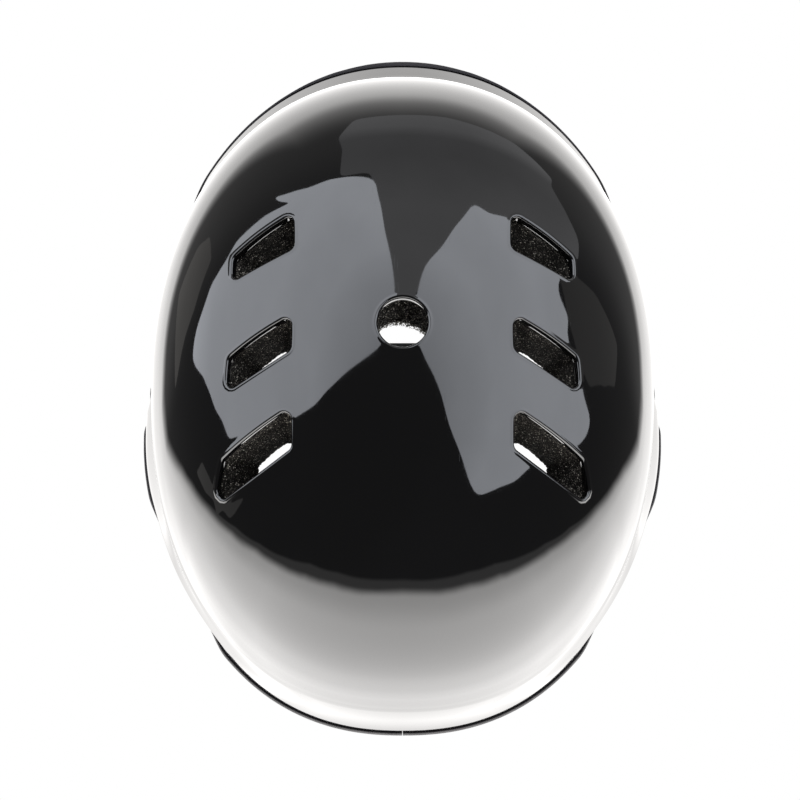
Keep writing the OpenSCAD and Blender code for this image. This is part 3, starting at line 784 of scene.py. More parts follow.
def mat_shell():
    m, nt, b, v = new_mat("gloss_black_shell")
    n1 = noise(nt, v, 9, 3, 0.5).outputs["Fac"]
    nt.links.new(ramp(nt, n1, [(0.35, (0.0007, 0.0007, 0.0008)), (0.7, (0.0012, 0.0012, 0.0014))]), b.inputs["Base Color"])
    smear = noise(nt, stretch(nt, v, (1, 2.2, 1)), 26, 4, 0.6, 0.6).outputs["Fac"]
    nt.links.new(ramp(nt, smear, [(0.4, (0.026,) * 3), (0.75, (0.052,) * 3)]), b.inputs["Roughness"])
    wav = noise(nt, v, 38, 1, 0.4).outputs["Fac"]
    scr = noise(nt, stretch(nt, v, (1400, 90, 300)), 1.0, 2, 0.5).outputs["Fac"]
    mask = maths(nt, "GREATER_THAN", scr, 0.70)
    nb = bump(nt, wav, 0.06, 0.0006)
    nb = bump(nt, mask, 0.05, 0.00001, nb)
    nt.links.new(nb, b.inputs["Normal"])
    b.inputs["IOR"].default_value = 1.5
    return m


def mat_trim():
    m, nt, b, v = new_mat("trim_rubber")
    n1 = noise(nt, v, 60, 4, 0.6).outputs["Fac"]
    nt.links.new(ramp(nt, n1, [(0.3, (0.0075, 0.0068, 0.0075)), (0.75, (0.0125, 0.0112, 0.0122))]), b.inputs["Base Color"])
    nt.links.new(ramp(nt, noise(nt, v, 240, 3).outputs["Fac"], [(0.3, (0.68,) * 3), (0.7, (0.82,) * 3)]), b.inputs["Roughness"])
    g = noise(nt, stretch(nt, v, (1, 1, 7)), 420, 3, 0.6).outputs["Fac"]
    nt.links.new(bump(nt, g, 0.3, 0.0001), b.inputs["Normal"])
    b.inputs["Specular IOR Level"].default_value = 0.2
    return m


def mat_foam(name="bead_foam", tall=1.0):
    """Black bead foam: smooth at arm's length, with a fine glitter of light flecks painted into the base colour as
    glints.
    """
    m, nt, b, v = new_mat(name)
    if tall != 1.0:
        v = stretch(nt, v, (1, 1, tall))
        # the rough rim crumbles away grain by grain
        grain = node(nt, "ShaderNodeSeparateColor", {0: voro(nt, v, 2300).outputs["Color"]}).outputs[0]
        at0 = nt.nodes.new("ShaderNodeAttribute"); at0.attribute_name = "broken"
        gone = maths(nt, "POWER", at0.outputs["Fac"], 2.2)
        nt.links.new(maths(nt, "SUBTRACT", 1.0, maths(nt, "LESS_THAN", grain, gone)), b.inputs["Alpha"])
    warp = noise(nt, v, 300, 2).outputs["Color"]
    vv = node(nt, "ShaderNodeVectorMath", {0: warp, 1: (0.0006,) * 3}, operation="MULTIPLY").outputs[0]
    vv = node(nt, "ShaderNodeVectorMath", {0: vv, 1: v}, operation="ADD").outputs[0]
    bead = voro(nt, vv, 620)
    edge = voro(nt, vv, 620, "DISTANCE_TO_EDGE")
    tone = ramp(nt, node(nt, "ShaderNodeSeparateColor", {0: bead.outputs["Color"]}).outputs[0],
                [(0.0, (0.0022, 0.0020, 0.0017)), (0.6, (0.0045, 0.0040, 0.0034)), (1.0, (0.0095, 0.0086, 0.0072))])
    seam = ramp(nt, edge.outputs["Distance"], [(0.0, (0.72,) * 3), (0.07, (1, 1, 1))])
    col = mixc(nt, 1.0, tone, seam, "MULTIPLY")
    # painted glints: light flecks of three sizes, each of its own brightness, brighter and more frequent on the cut
    # wall
    # point attribute from the crown collar: painted light towards its lower rim that enlarges, multiplies and brightens
    # the flecks and lowers the roughness; it also crumbles the rim away
    att = nt.nodes.new("ShaderNodeAttribute"); att.attribute_name = "broken"
    broken = att.outputs["Fac"]
    cut_wall_brighter_glints = tall != 1.0
    for scale, size, rare, tint in ((1650, 0.36, 0.62 if cut_wall_brighter_glints else 0.84, (0.85, 0.80, 0.70) if cut_wall_brighter_glints else (0.62, 0.58, 0.50)),
                                    (2500, 0.45, 0.55 if cut_wall_brighter_glints else 0.74, (0.30, 0.28, 0.24)), (3300, 0.5, 0.5, (0.07, 0.064, 0.055))):
        glint_fleck_cells = voro(nt, v, scale)
        c = node(nt, "ShaderNodeSeparateColor", {0: glint_fleck_cells.outputs["Color"]}).outputs
        wide_ = maths(nt, "ADD", size, maths(nt, "MULTIPLY", broken, 0.6))
        f = maths(nt, "MULTIPLY", maths(nt, "LESS_THAN", glint_fleck_cells.outputs["Distance"], wide_),
                  maths(nt, "GREATER_THAN", maths(nt, "ADD", c[1], maths(nt, "MULTIPLY", broken, 0.95)), rare))
        f = maths(nt, "MULTIPLY", f, maths(nt, "POWER", c[2], maths(nt, "SUBTRACT", 1.6, maths(nt, "MULTIPLY", broken, 1.3))))
        col = mixc(nt, f, col, tint)
    nt.links.new(col, b.inputs["Base Color"])
    rough = node(nt, "ShaderNodeSeparateColor", {0: ramp(nt, bead.outputs["Distance"], [(0.0, (0.78,) * 3), (0.6, (0.95,) * 3)])}).outputs[0]
    nt.links.new(maths(nt, "SUBTRACT", rough, maths(nt, "MULTIPLY", broken, 0.5)), b.inputs["Roughness"])
    h = maths(nt, "SMOOTH_MIN", edge.outputs["Distance"], 0.16, 0.1)
    nb = bump(nt, h, 0.3, 0.0005)
    nb = bump(nt, voro(nt, v, 1900).outputs["Distance"], 0.6, 0.0003, nb)
    nt.links.new(nb, b.inputs["Normal"])
    b.inputs["Specular IOR Level"].default_value = 0.09
    return m


def mat_fabric():
    """Brushed warp-knit: fine staggered loops with a soft bloom."""
    m, nt, b, v = new_mat("pad_fabric")
    w = voro(nt, stretch(nt, v, (1, 1, 1.35)), 1150, rnd=0.32)
    loops = w.outputs["Distance"]
    big = noise(nt, v, 45, 4, 0.6).outputs["Fac"]
    c1 = ramp(nt, loops, [(0.0, (0.034, 0.035, 0.038)), (0.42, (0.019, 0.0195, 0.021)), (0.7, (0.006, 0.006, 0.007))])
    c2 = ramp(nt, big, [(0.3, (0.72,) * 3), (0.72, (1.18,) * 3)])
    nt.links.new(mixc(nt, 1.0, c1, c2, "MULTIPLY"), b.inputs["Base Color"])
    b.inputs["Roughness"].default_value = 0.86
    b.inputs["Sheen Weight"].default_value = 0.32
    b.inputs["Sheen Roughness"].default_value = 0.45
    inv = maths(nt, "SUBTRACT", 1.0, loops)
    nb = bump(nt, inv, 0.75, 0.00035)
    nb = bump(nt, noise(nt, v, 900, 4, 0.7).outputs["Fac"], 0.25, 0.0003, nb)
    nt.links.new(nb, b.inputs["Normal"])
    return m


def mat_piping():
    m, nt, b, v = new_mat("pad_binding")
    n1 = noise(nt, v, 700, 3).outputs["Fac"]
    nt.links.new(ramp(nt, n1, [(0.3, (0.008, 0.008, 0.009)), (0.7, (0.02, 0.02, 0.022))]), b.inputs["Base Color"])
    b.inputs["Roughness"].default_value = 0.7
    b.inputs["Sheen Weight"].default_value = 0.2
    nt.links.new(bump(nt, n1, 0.5, 0.0002), b.inputs["Normal"])
    return m


def mat_hook():
    m, nt, b, v = new_mat("hook_tape")
    w = voro(nt, v, 1300, rnd=0.25)
    nt.links.new(ramp(nt, w.outputs["Distance"], [(0.0, (0.05, 0.05, 0.052)), (0.35, (0.012, 0.012, 0.013)), (0.6, (0.003,) * 3)]), b.inputs["Base Color"])
    b.inputs["Roughness"].default_value = 0.5
    nt.links.new(bump(nt, maths(nt, "SUBTRACT", 1.0, w.outputs["Distance"]), 1.0, 0.0005), b.inputs["Normal"])
    return m


def mat_web(name="strap_webbing", base=0.014):
    m, nt, b, v = new_mat(name)
    fibre = noise(nt, stretch(nt, v, (260, 2600, 1800)), 1.0, 3, 0.6).outputs["Fac"]
    tone = noise(nt, v, 160, 3).outputs["Fac"]
    c1 = ramp(nt, fibre, [(0.3, (base * 0.55, base * 0.55, base * 0.6)), (0.7, (base * 1.6, base * 1.6, base * 1.7))])
    nt.links.new(mixc(nt, 1.0, c1, ramp(nt, tone, [(0.3, (0.8,) * 3), (0.7, (1.15,) * 3)]), "MULTIPLY"), b.inputs["Base Color"])
    b.inputs["Roughness"].default_value = 0.62
    b.inputs["Sheen Weight"].default_value = 0.25
    b.inputs["Sheen Roughness"].default_value = 0.4
    nt.links.new(bump(nt, fibre, 0.5, 0.00012), b.inputs["Normal"])
    return m


def mat_plastic(name, base, rough, grain=900, depth=0.00005, strength=0.4):
    m, nt, b, v = new_mat(name)
    n1 = noise(nt, v, 120, 4, 0.6).outputs["Fac"]
    lo, hi = base * 0.8, base * 1.2
    nt.links.new(ramp(nt, n1, [(0.3, (lo, lo, lo * 1.03)), (0.7, (hi, hi, hi * 1.03))]), b.inputs["Base Color"])
    nt.links.new(ramp(nt, noise(nt, v, 420, 3).outputs["Fac"], [(0.3, (rough - 0.05,) * 3), (0.7, (rough + 0.07,) * 3)]), b.inputs["Roughness"])
    nt.links.new(bump(nt, voro(nt, v, grain, "SMOOTH_F1", 0.4).outputs["Distance"], strength, depth), b.inputs["Normal"])
    return m


# ------------------------------------------------------------------ padded pieces
def simulate(ob, voxel, frames, pressure, outward, cap_in, cap_out):
    """Remesh, swell under pressure, cap the travel. outward gives each point's way towards the shell."""
    md = ob.modifiers.new("remesh", "REMESH"); md.mode = "VOXEL"; md.voxel_size = voxel * MM; md.use_smooth_shade = True
    apply_mods(ob)
    rest = np.array([v.co[:] for v in ob.data.vertices])
    md = ob.modifiers.new("swell", "CLOTH")
    st = md.settings
    st.use_pressure = True; st.uniform_pressure_force = pressure
    st.effector_weights.gravity = 0.0
    st.quality = 5; st.mass = 0.3
    st.tension_stiffness = 22; st.compression_stiffness = 22; st.shear_stiffness = 12; st.bending_stiffness = 1.5
    sc = bpy.context.scene
    for f in range(1, frames + 1):
        sc.frame_set(f)
    apply_mods(ob)
    sc.frame_set(1)
    cur = np.array([v.co[:] for v in ob.data.vertices])
    if len(cur) == len(rest):
        mv = cur - rest
        out = outward(rest / MM)
        along = (mv * out).sum(1, keepdims=True)
        lim = np.where(along > 0, cap_out * MM, cap_in * MM)
        k = np.minimum(1, lim / np.maximum(np.linalg.norm(mv, axis=1, keepdims=True), 1e-9))
        cur = rest + mv * k
        ob.data.vertices.foreach_set("co", cur.ravel())
        ob.data.update()
    md = ob.modifiers.new("subd", "SUBSURF"); md.levels = 1; md.render_levels = 1
    apply_mods(ob)
    ob.data.polygons.foreach_set("use_smooth", [True] * len(ob.data.polygons))
    return ob


def out_of_bowl(v):
    """The way towards the shell from points inside the bowl."""
    c = np.array([0, Y0, ZC])
    d = v - c
    d[:, 2] = np.where(v[:, 2] > ZC, d[:, 2], 0)
    return unit(d)


def deform(ob, fn):
    co = np.empty(len(ob.data.vertices) * 3); ob.data.vertices.foreach_get("co", co)
    co = co.reshape(-1, 3) / MM
    co = fn(co)
    ob.data.vertices.foreach_set("co", (co * MM).ravel()); ob.data.update()


def tube(name, path, r, closed=True, n=8, flat=1.0):
    path = np.asarray(path, float)
    m = len(path)
    if closed:
        tng = unit(np.roll(path, -1, 0) - np.roll(path, 1, 0))
    else:
        tng = unit(np.gradient(path, axis=0))
    ref = unit(np.cross(tng[0], [0.3, 0.5, 0.81]))
    fr = []
    for i in range(m):
        ref = unit(ref - tng[i] * (ref @ tng[i]))
        fr.append(ref)
    fr = np.array(fr)
    if closed:                                   # spread the leftover twist
        last = unit(fr[-1] - tng[0] * (fr[-1] @ tng[0]))
        tw = math.atan2(np.cross(last, fr[0]) @ tng[0], last @ fr[0])
        for i in range(m):
            a = tw * i / m
            fr[i] = fr[i] * math.cos(a) + np.cross(tng[i], fr[i]) * math.sin(a)
    bi = np.cross(tng, fr)
    a = np.arange(n) * 2 * math.pi / n
    ring = path[:, None] + r * (np.cos(a)[None, :, None] * fr[:, None] + flat * np.sin(a)[None, :, None] * bi[:, None])
    F = []
    for i in range(m if closed else m - 1):
        k = (i + 1) % m
        for j in range(n):
            jj = (j + 1) % n
            F.append((i * n + j, k * n + j, k * n + jj, i * n + jj))
    if not closed:
        F.append(tuple(range(n))[::-1]); F.append(tuple((m - 1) * n + j for j in range(n)))
    ob = mesh_obj(name, ring.reshape(-1, 3), F)
    fix_normals(ob)
    return ob


def smooth_loop(path, k=2):
    path = np.asarray(path, float)
    for _ in range(k):
        path = (np.roll(path, 1, 0) + 2 * path + np.roll(path, -1, 0)) / 4
    return path


def resample(path, n, closed=True):
    q = np.vstack([path, path[:1]]) if closed else np.asarray(path, float)
    s = np.concatenate([[0], np.cumsum(np.linalg.norm(np.diff(q, axis=0), axis=1))])
    u = np.linspace(0, s[-1], n + 1)[:-1] if closed else np.linspace(0, s[-1], n)
    return np.stack([np.interp(u, s, q[:, i]) for i in range(3)], -1)


def snap(path, ob, off=0.0):
    """Moves path points to the piece's surface, off millimetres out of it."""
    from mathutils.bvhtree import BVHTree
    bm = bmesh.new(); bm.from_mesh(ob.data)
    bv = BVHTree.FromBMesh(bm); bm.free()
    out = []
    for q in path:
        loc, nn, _, _ = bv.find_nearest(Vector(q * MM))
        out.append(np.array(loc) / MM + np.array(nn) * off)
    return np.array(out)


def perimeter(q, depth, n=60, inset=0.0, lv=0.0):
    a = inset; b = 1 - inset
    s = np.linspace(a, b, n)
    U = np.concatenate([s, 0 * s + b, s[::-1], 0 * s + a]); V = np.concatenate([0 * s + a, s, 0 * s + b, s[::-1]])
    P_, T_ = q(U, V)
    path = deep(P_, T_, np.full(P_.shape, float(depth)), lv)
    keep = np.concatenate([[True], np.linalg.norm(np.diff(path, axis=0), axis=1) > 0.05])
    return path[keep]


def line_q(q, U, V, depth):
    P_, T_ = q(U, V)
    return deep(P_, T_, np.full(P_.shape, float(depth)))


def groove(ob, lines, width, amount, face_out):
    """Presses sewn channels into the piece along lines, and its skin away from the head side."""
    from mathutils.kdtree import KDTree
    L = np.concatenate([resample(l, max(8, int(np.linalg.norm(np.diff(l, axis=0), axis=1).sum() / 0.8)), closed=False) for l in lines])
    kd = KDTree(len(L))
    for i, q in enumerate(L):
        kd.insert(Vector(q), i)
    kd.balance()

    def fn(co):
        o = face_out(co)
        d = np.array([kd.find(Vector(c))[2] for c in co])
        # only the skin near the line moves, and towards the shell
        return co + o * (amount * np.exp(-(d / width) ** 2))[:, None]
    deform(ob, fn)


def rounded_q(q, r=0.13, sq=1.0):
    """Maps the unit square onto itself with its corners drawn in, so that a patch gets round corners."""
    def f(U, V):
        x, y = 2 * U - 1, 2 * V - 1
        k = 0.5 * r
        xx = x * np.sqrt(1 - k * y ** 6 * np.abs(x) ** 4)
        yy = y * np.sqrt(1 - k * x ** 6 * np.abs(y) ** 4)
        return q((xx + 1) / 2, (yy + 1) / 2)
    return f


def mirror_obj(ob, name):
    me = ob.data.copy(); me.name = name
    co = np.empty(len(me.vertices) * 3); me.vertices.foreach_get("co", co)
    co = co.reshape(-1, 3); co[:, 0] *= -1
    me.vertices.foreach_set("co", co.ravel())
    me.flip_normals()
    o = bpy.data.objects.new(name, me); bpy.context.collection.objects.link(o)
    me.update()
    return o


def pad_piece(name, q, d0, d1, nu, nv, lines=(), hole=None, voxel=4.0, cap_in=1.6, cap_out=0.8, groove_w=2.2, groove_d=1.5, lv=0.0):
    qq = rounded_q(q, 0.5)
    ob = block(name, qq, nu, nv, d0 + 0.5, d1 - 1.3, puff=0.35, lv=lv)
    if hole is not None:
        cut(ob, [hole])
    simulate(ob, voxel, 20, 4.0, out_of_bowl, cap_in, cap_out)
    if len(lines):
        groove(ob, lines, groove_w, groove_d, out_of_bowl)
    seam = resample(smooth_loop(snap(resample(perimeter(qq, (d0 + d1) / 2, lv=lv), 260), ob, 0.1), 3), 260)
    piping = tube(name + "_piping", seam, 0.85, n=8)
    return ob, piping


# ------------------------------------------------------------------ strap
BEND = 2.5
WEB_Z, WEB_T, WEB_W = 2.3, 1.4, 20.0
EYE_X0 = SEAT_X - 3.3
EYE_MID = EYE_X0 + 1.5


def web_path(x_from):
    u = np.linspace(0, 1, 60)[1:-1]
    pts = [(x_from, WEB_Z), (46.5, WEB_Z)]
    pts += [(lerp(46.5, 73, i), WEB_Z + 17.0 * (1 - math.cos(2 * math.pi * i)) / 2) for i in u]
    pts += [(73, WEB_Z), (EYE_MID - 2.6, WEB_Z)]
    pts += [(EYE_MID - BEND + BEND * math.sin(math.radians(a)), WEB_Z + BEND - BEND * math.cos(math.radians(a))) for a in range(6, 96, 6)]
    pts += [(EYE_MID, POST_Z - 8.2)]
    q = np.array(pts)
    s = np.concatenate([[0], np.cumsum(np.linalg.norm(np.diff(q, axis=0), axis=1))])
    n = int(s[-1] / 0.33)
    w = np.linspace(0, s[-1], n)
    return np.stack([np.interp(w, s, q[:, 0]), np.interp(w, s, q[:, 1])], -1), w


def build_web(name, side):
    path, s = web_path(0.3)
    t_ = unit(np.gradient(path, axis=0))
    nn = np.stack([-t_[:, 1], t_[:, 0]], -1)
    W = np.linspace(-1, 1, 57)
    yy = W * (WEB_W / 2)
    # herringbone: ribs slant one way on one half and the other way on the other, with a plain bound edge
    rows = []
    for sgn in (1, -1):
        ph = s[:, None] / 1.55 + np.abs(yy)[None, :] * 0.52
        rib = np.abs(((ph % 1) * 2) - 1)
        across = np.cos(yy / 1.25 * math.pi)[None, :] * 0.35 + 0.65
        edge = np.clip((WEB_W / 2 - np.abs(yy)) / 1.2, 0, 1)[None, :]
        h = 0.13 * ss(rib) * across * ss(edge)
        bind = 0.10 * np.exp(-((WEB_W / 2 - 0.75 - np.abs(yy)) / 0.5) ** 2)[None, :] * (0.75 + 0.25 * np.cos(s[:, None] / 0.9 * 2 * math.pi))
        round_ = np.sqrt(np.clip(1 - (np.clip(np.abs(yy) - (WEB_W / 2 - 0.55), 0, None) / 0.56) ** 2, 0, 1))[None, :]
        th = (WEB_T / 2 - 0.13 + h + bind) * round_
        rows.append(path[:, None, :] + sgn * nn[:, None, :] * th[..., None])
    n, m = len(s), len(yy)
    V = []
    for r in rows:
        V.append(np.stack([r[..., 0], np.broadcast_to(POST_Y + yy, (n, m)), r[..., 1]], -1).reshape(-1, 3))
    V = np.concatenate(V)
    F = []
    o = n * m
    for i in range(n - 1):
        for j in range(m - 1):
            a = i * m + j
            F.append((a, a + m, a + m + 1, a + 1)); F.append((o + a, o + a + 1, o + a + m + 1, o + a + m))
        for j in (0, m - 1):
            a = i * m + j
            F.append((a, o + a, o + a + m, a + m) if j == 0 else (a, a + m, o + a + m, o + a))
    for i in (0, n - 1):
        for j in range(m - 1):
            a = i * m + j
            F.append((a, a + 1, o + a + 1, o + a) if i == 0 else (a, o + a, o + a + 1, a + 1))
    if side < 0:
        V = V * np.array([-1, 1, 1])
    ob = mesh_obj(name, V, F)
    fix_normals(ob)
    return ob


def stitches(name, pts, length, r=0.28, per=2.2):
    """Short raised thread stitches along a polyline."""
    path = resample(np.asarray(pts, float), max(2, int(length / per)) * 2, closed=False)
    V = []; F = []
    for a, b in zip(path[0::2], path[1::2]):
        d = unit(b - a); up = unit(np.cross(d, [0.1, 0.2, 0.97])); w = np.cross(d, up)
        rings = []
        for t_, k in ((0, 0.15), (0.2, 0.8), (0.5, 1.0), (0.8, 0.8), (1, 0.15)):
            c = a + (b - a) * t_
            ang = np.arange(6) * math.pi / 3
            rings.append(c + r * k * (np.cos(ang)[:, None] * up + np.sin(ang)[:, None] * w))
        o = len(V) * 30
        V.append(np.concatenate(rings))
        for i in range(4):
            for j in range(6):
                jj = (j + 1) % 6
                F.append((o + i * 6 + j, o + (i + 1) * 6 + j, o + (i + 1) * 6 + jj, o + i * 6 + jj))
        F.append(tuple(o + j for j in range(6))[::-1]); F.append(tuple(o + 24 + j for j in range(6)))
    ob = mesh_obj(name, np.concatenate(V), F)
    fix_normals(ob)
    return ob


def prism_x(name, outline, x0, x1, mat=None):
    """Extrudes a yz outline along x."""
    o = np.asarray(outline, float); m = len(o)
    V = np.concatenate([np.column_stack([np.full(m, x0), o]), np.column_stack([np.full(m, x1), o])])
    F = [(i, (i + 1) % m, m + (i + 1) % m, m + i) for i in range(m)] + [tuple(range(m))[::-1], tuple(m + i for i in range(m))]
    ob = mesh_obj(name, V, F, mat)
    fix_normals(ob)
    return ob


def prism_z(name, outline, z0, z1, mat=None):
    o = np.asarray(outline, float); m = len(o)
    V = np.concatenate([np.column_stack([o, np.full(m, z0)]), np.column_stack([o, np.full(m, z1)])])
    F = [(i, (i + 1) % m, m + (i + 1) % m, m + i) for i in range(m)] + [tuple(range(m))[::-1], tuple(m + i for i in range(m))]
    ob = mesh_obj(name, V, F, mat)
    fix_normals(ob)
    return ob


def box_pts(a0, a1, b0, b1, r, n=6):
    """A rounded rectangle's outline."""
    out = []
    for cx, cy, s in ((a1 - r, b1 - r, 0), (a0 + r, b1 - r, 1), (a0 + r, b0 + r, 2), (a1 - r, b0 + r, 3)):
        for k in range(n + 1):
            a = (s + k / n) * math.pi / 2
            out.append((cx + r * math.cos(a), cy + r * math.sin(a)))
    return np.array(out)


def lathe_x(name, prof, cy, cz, n=48):
    """Turns a profile of (x, r) about the x axis through (cy, cz); r 0 closes it."""
    a = np.arange(n) * 2 * math.pi / n
    V = []; F = []; rows = []
    for x, r in prof:
        if r <= 1e-6:
            rows.append([len(V)]); V.append((x, cy, cz))
        else:
            rows.append(list(range(len(V), len(V) + n)))
            V += [(x, cy + r * math.cos(t), cz + r * math.sin(t)) for t in a]
    for A, B in zip(rows[:-1], rows[1:]):
        for i in range(n):
            j = (i + 1) % n
            if len(A) == 1 and len(B) == 1:
                break
            elif len(A) == 1:
                F.append((A[0], B[i], B[j]))
            elif len(B) == 1:
                F.append((A[i], B[0], A[j]))
            else:
                F.append((A[i], B[i], B[j], A[j]))
    if len(rows[0]) > 1 and len(rows[-1]) > 1:       # closed profile
        A, B = rows[-1], rows[0]
        for i in range(n):
            j = (i + 1) % n
            F.append((A[i], B[i], B[j], A[j]))
    ob = mesh_obj(name, V, F)
    fix_normals(ob)
    return ob


# ------------------------------------------------------------------ studio
def build_studio():
    sc = bpy.context.scene
    sc.view_settings.view_transform = "Standard"
    cam = bpy.data.objects.new("camera", bpy.data.cameras.new("camera"))
    bpy.context.collection.objects.link(cam)
    tilt = math.radians(15)
    back = Vector((0, math.sin(tilt), math.cos(tilt)))
    up = Vector((0, -math.cos(tilt), math.sin(tilt)))
    aim = Vector((0, Y0, ZC)) * MM + Vector((1.06, 0, 0)) * MM - up * 4.74 * MM
    cam.location = aim + back * 1.3
    cam.rotation_mode = "QUATERNION"
    cam.rotation_quaternion = (-back).to_track_quat("-Z", "Y")
    cam.data.sensor_width = 36; cam.data.lens = 36 * 1300 / 338.4
    cam.data.clip_start = 0.05; cam.data.clip_end = 20
    sc.camera = cam

    # the room: a directional glow from the white sweep, low in front and high behind, under a dark ceiling
    w = bpy.data.worlds.new("studio"); sc.world = w; w.use_nodes = True
    nt = w.node_tree; nt.nodes.clear()
    tc = nt.nodes.new("ShaderNodeTexCoord")
    sep = node(nt, "ShaderNodeSeparateXYZ", {0: tc.outputs["Generated"]})
    x, y, z = sep.outputs

    def step(val, a, b, lo=0.0, hi=1.0):
        n = nt.nodes.new("ShaderNodeMapRange"); n.interpolation_type = "SMOOTHSTEP"
        nt.links.new(val, n.inputs["Value"])
        for k, c in (("From Min", a), ("From Max", b), ("To Min", lo), ("To Max", hi)):
            if isinstance(c, (int, float)):
                n.inputs[k].default_value = c
            else:
                nt.links.new(c, n.inputs[k])
        return n.outputs["Result"]

    def table(val, stops, top):
        """Value by bearing: stops of (degrees from the front, value)."""
        r = ramp(nt, val, [(a / 180, (v / top,) * 3) for a, v in stops])
        return maths(nt, "MULTIPLY", node(nt, "ShaderNodeSeparateColor", {0: r}).outputs[0], top)

    k = maths(nt, "ADD", z, 1.0001)
    u = maths(nt, "DIVIDE", maths(nt, "MULTIPLY", x, -1.0), k)        # towards the right half of the picture
    v = maths(nt, "DIVIDE", y, k)                                     # towards the back of the helmet
    r = maths(nt, "SQRT", maths(nt, "ADD", maths(nt, "MULTIPLY", u, u), maths(nt, "MULTIPLY", v, v)))
    az = maths(nt, "DIVIDE", maths(nt, "ABSOLUTE", maths(nt, "ARCTAN2", x, maths(nt, "MULTIPLY", y, -1.0))), math.pi)
    edge = table(az, [(0, 1.24), (27, 1.30), (47, 1.86), (60, 2.28), (71, 2.5), (78, 2.35), (87, 1.78), (92, 1.56), (100, 1.3), (110, 1.06), (120, 0.9), (130, 0.8), (142, 0.705), (155, 0.655), (180, 0.625)], 2.5)
    wide = table(az, [(0, 0.36), (27, 0.34), (47, 0.22), (74, 0.22), (90, 0.10), (110, 0.05), (130, 0.04), (180, 0.03)], 0.5)
    peak = table(az, [(0, 2.55), (27, 2.25), (47, 2.02), (62, 2.3), (76, 2.95), (90, 4.7), (110, 6.35), (130, 7.5), (150, 7.2), (180, 6.85)], 10.0)
    comb = node(nt, "ShaderNodeCombineXYZ", {0: u, 1: v, 2: 0.0}).outputs[0]
    wave = maths(nt, "MULTIPLY", maths(nt, "SUBTRACT", noise(nt, comb, 2.6, 3, 0.5, 0.2).outputs["Fac"], 0.5), step(v, -0.2, 0.5, 0.0, 0.055))
    d = maths(nt, "ADD", maths(nt, "SUBTRACT", r, edge), wave)
    g1 = step(maths(nt, "DIVIDE", d, wide), -1.0, 1.0)
    g2 = step(d, 0.0, 0.26)
    glow = maths(nt, "ADD", maths(nt, "MULTIPLY", g1, 0.72), maths(nt, "MULTIPLY", g2, 0.28))
    low = step(z, -1.0, -0.5)
    fore = ramp(nt, low, [(q, (g,) * 3) for q, g in ((0.0, 0.44), (0.02, 0.44), (0.035, 0.62), (0.05, 0.80), (0.14, 0.84), (0.3, 0.97), (1.0, 1.0))])
    aft = ramp(nt, low, [(q, (g,) * 3) for q, g in ((0.0, 0.22), (0.003, 0.20), (0.041, 0.33), (0.147, 0.47), (0.30, 0.635), (0.515, 0.75), (0.716, 0.82), (0.87, 0.915), (1.0, 1.0))])
    down = node(nt, "ShaderNodeSeparateColor", {0: mixc(nt, step(az, 75 / 180, 120 / 180), fore, aft)}).outputs[0]
    shelf = maths(nt, "MULTIPLY", step(maths(nt, "SUBTRACT", d, maths(nt, "MULTIPLY", wave, 1.7)), -0.085, -0.06), step(v, 0.05, 0.3, 0.0, 0.42))
    base = maths(nt, "ADD", maths(nt, "ADD", 0.125, shelf), step(v, -0.35, -0.8, 0.0, 0.15))
    L = maths(nt, "ADD", base, maths(nt, "MULTIPLY", maths(nt, "MULTIPLY", glow, peak), down))
    bg = nt.nodes.new("ShaderNodeBackground")
    bg.inputs["Color"].default_value = (1.0, 0.985, 0.972, 1)
    nt.links.new(L, bg.inputs["Strength"])
    bgc = nt.nodes.new("ShaderNodeBackground")
    bgc.inputs["Color"].default_value = (1, 1, 1, 1); bgc.inputs["Strength"].default_value = 1.0
    lp = nt.nodes.new("ShaderNodeLightPath")
    mx = nt.nodes.new("ShaderNodeMixShader")
    nt.links.new(lp.outputs["Is Camera Ray"], mx.inputs[0]); nt.links.new(bg.outputs[0], mx.inputs[1]); nt.links.new(bgc.outputs[0], mx.inputs[2])
    out = nt.nodes.new("ShaderNodeOutputWorld")
    nt.links.new(mx.outputs[0], out.inputs[0])

    # light cards: cut shapes far round the helmet, by (u, v) of their corners as above
    def card(name, pts, far, tint, stops, axis="z"):
        q = np.array(pts, float)
        # denser outline with a slight waver, then a triangulated sheet on a sphere
        o = []
        rng = np.random.default_rng(len(name) * 7 + len(pts))
        for i in range(len(q)):
            a_, b_ = q[i], q[(i + 1) % len(q)]
            n = max(1, int(np.linalg.norm(b_ - a_) / 0.02))
            nn = np.array([b_[1] - a_[1], a_[0] - b_[0]]); nn = nn / max(np.linalg.norm(nn), 1e-9)
            for m_ in range(n):
                o.append(lerp(a_, b_, m_ / n) + nn * rng.normal(0, 0.0022) * (m_ > 0))
        o = np.array(o)
        for _ in range(2):
            o = (np.roll(o, 1, 0) + 2 * o + np.roll(o, -1, 0)) / 4
        lo, hi = o.min(0), o.max(0)
        gx, gy = np.meshgrid(np.arange(lo[0], hi[0], 0.06), np.arange(lo[1], hi[1], 0.06))
        n0 = len(o)
        co = [Vector(c) for c in o] + [Vector((a_, b_)) for a_, b_ in zip(gx.ravel(), gy.ravel())]
        vv, _, ff, *_ = delaunay_2d_cdt(co, [(i, (i + 1) % n0) for i in range(n0)], [list(range(n0))], 1, 1e-7)
        c = np.array([[c_.x, c_.y] for c_ in vv])
        rr = (c ** 2).sum(1)
        dirs = np.column_stack([-2 * c[:, 0] / (1 + rr), 2 * c[:, 1] / (1 + rr), (1 - rr) / (1 + rr)])
        me = bpy.data.meshes.new(name)
        me.from_pydata([tuple(d_ * far) for d_ in dirs], [], [list(f) for f in ff])
        ob = bpy.data.objects.new(name, me); bpy.context.collection.objects.link(ob)
        m = bpy.data.materials.new(name + "_glow"); m.use_nodes = True
        nt = m.node_tree; nt.nodes.clear()
        tc = nt.nodes.new("ShaderNodeTexCoord")
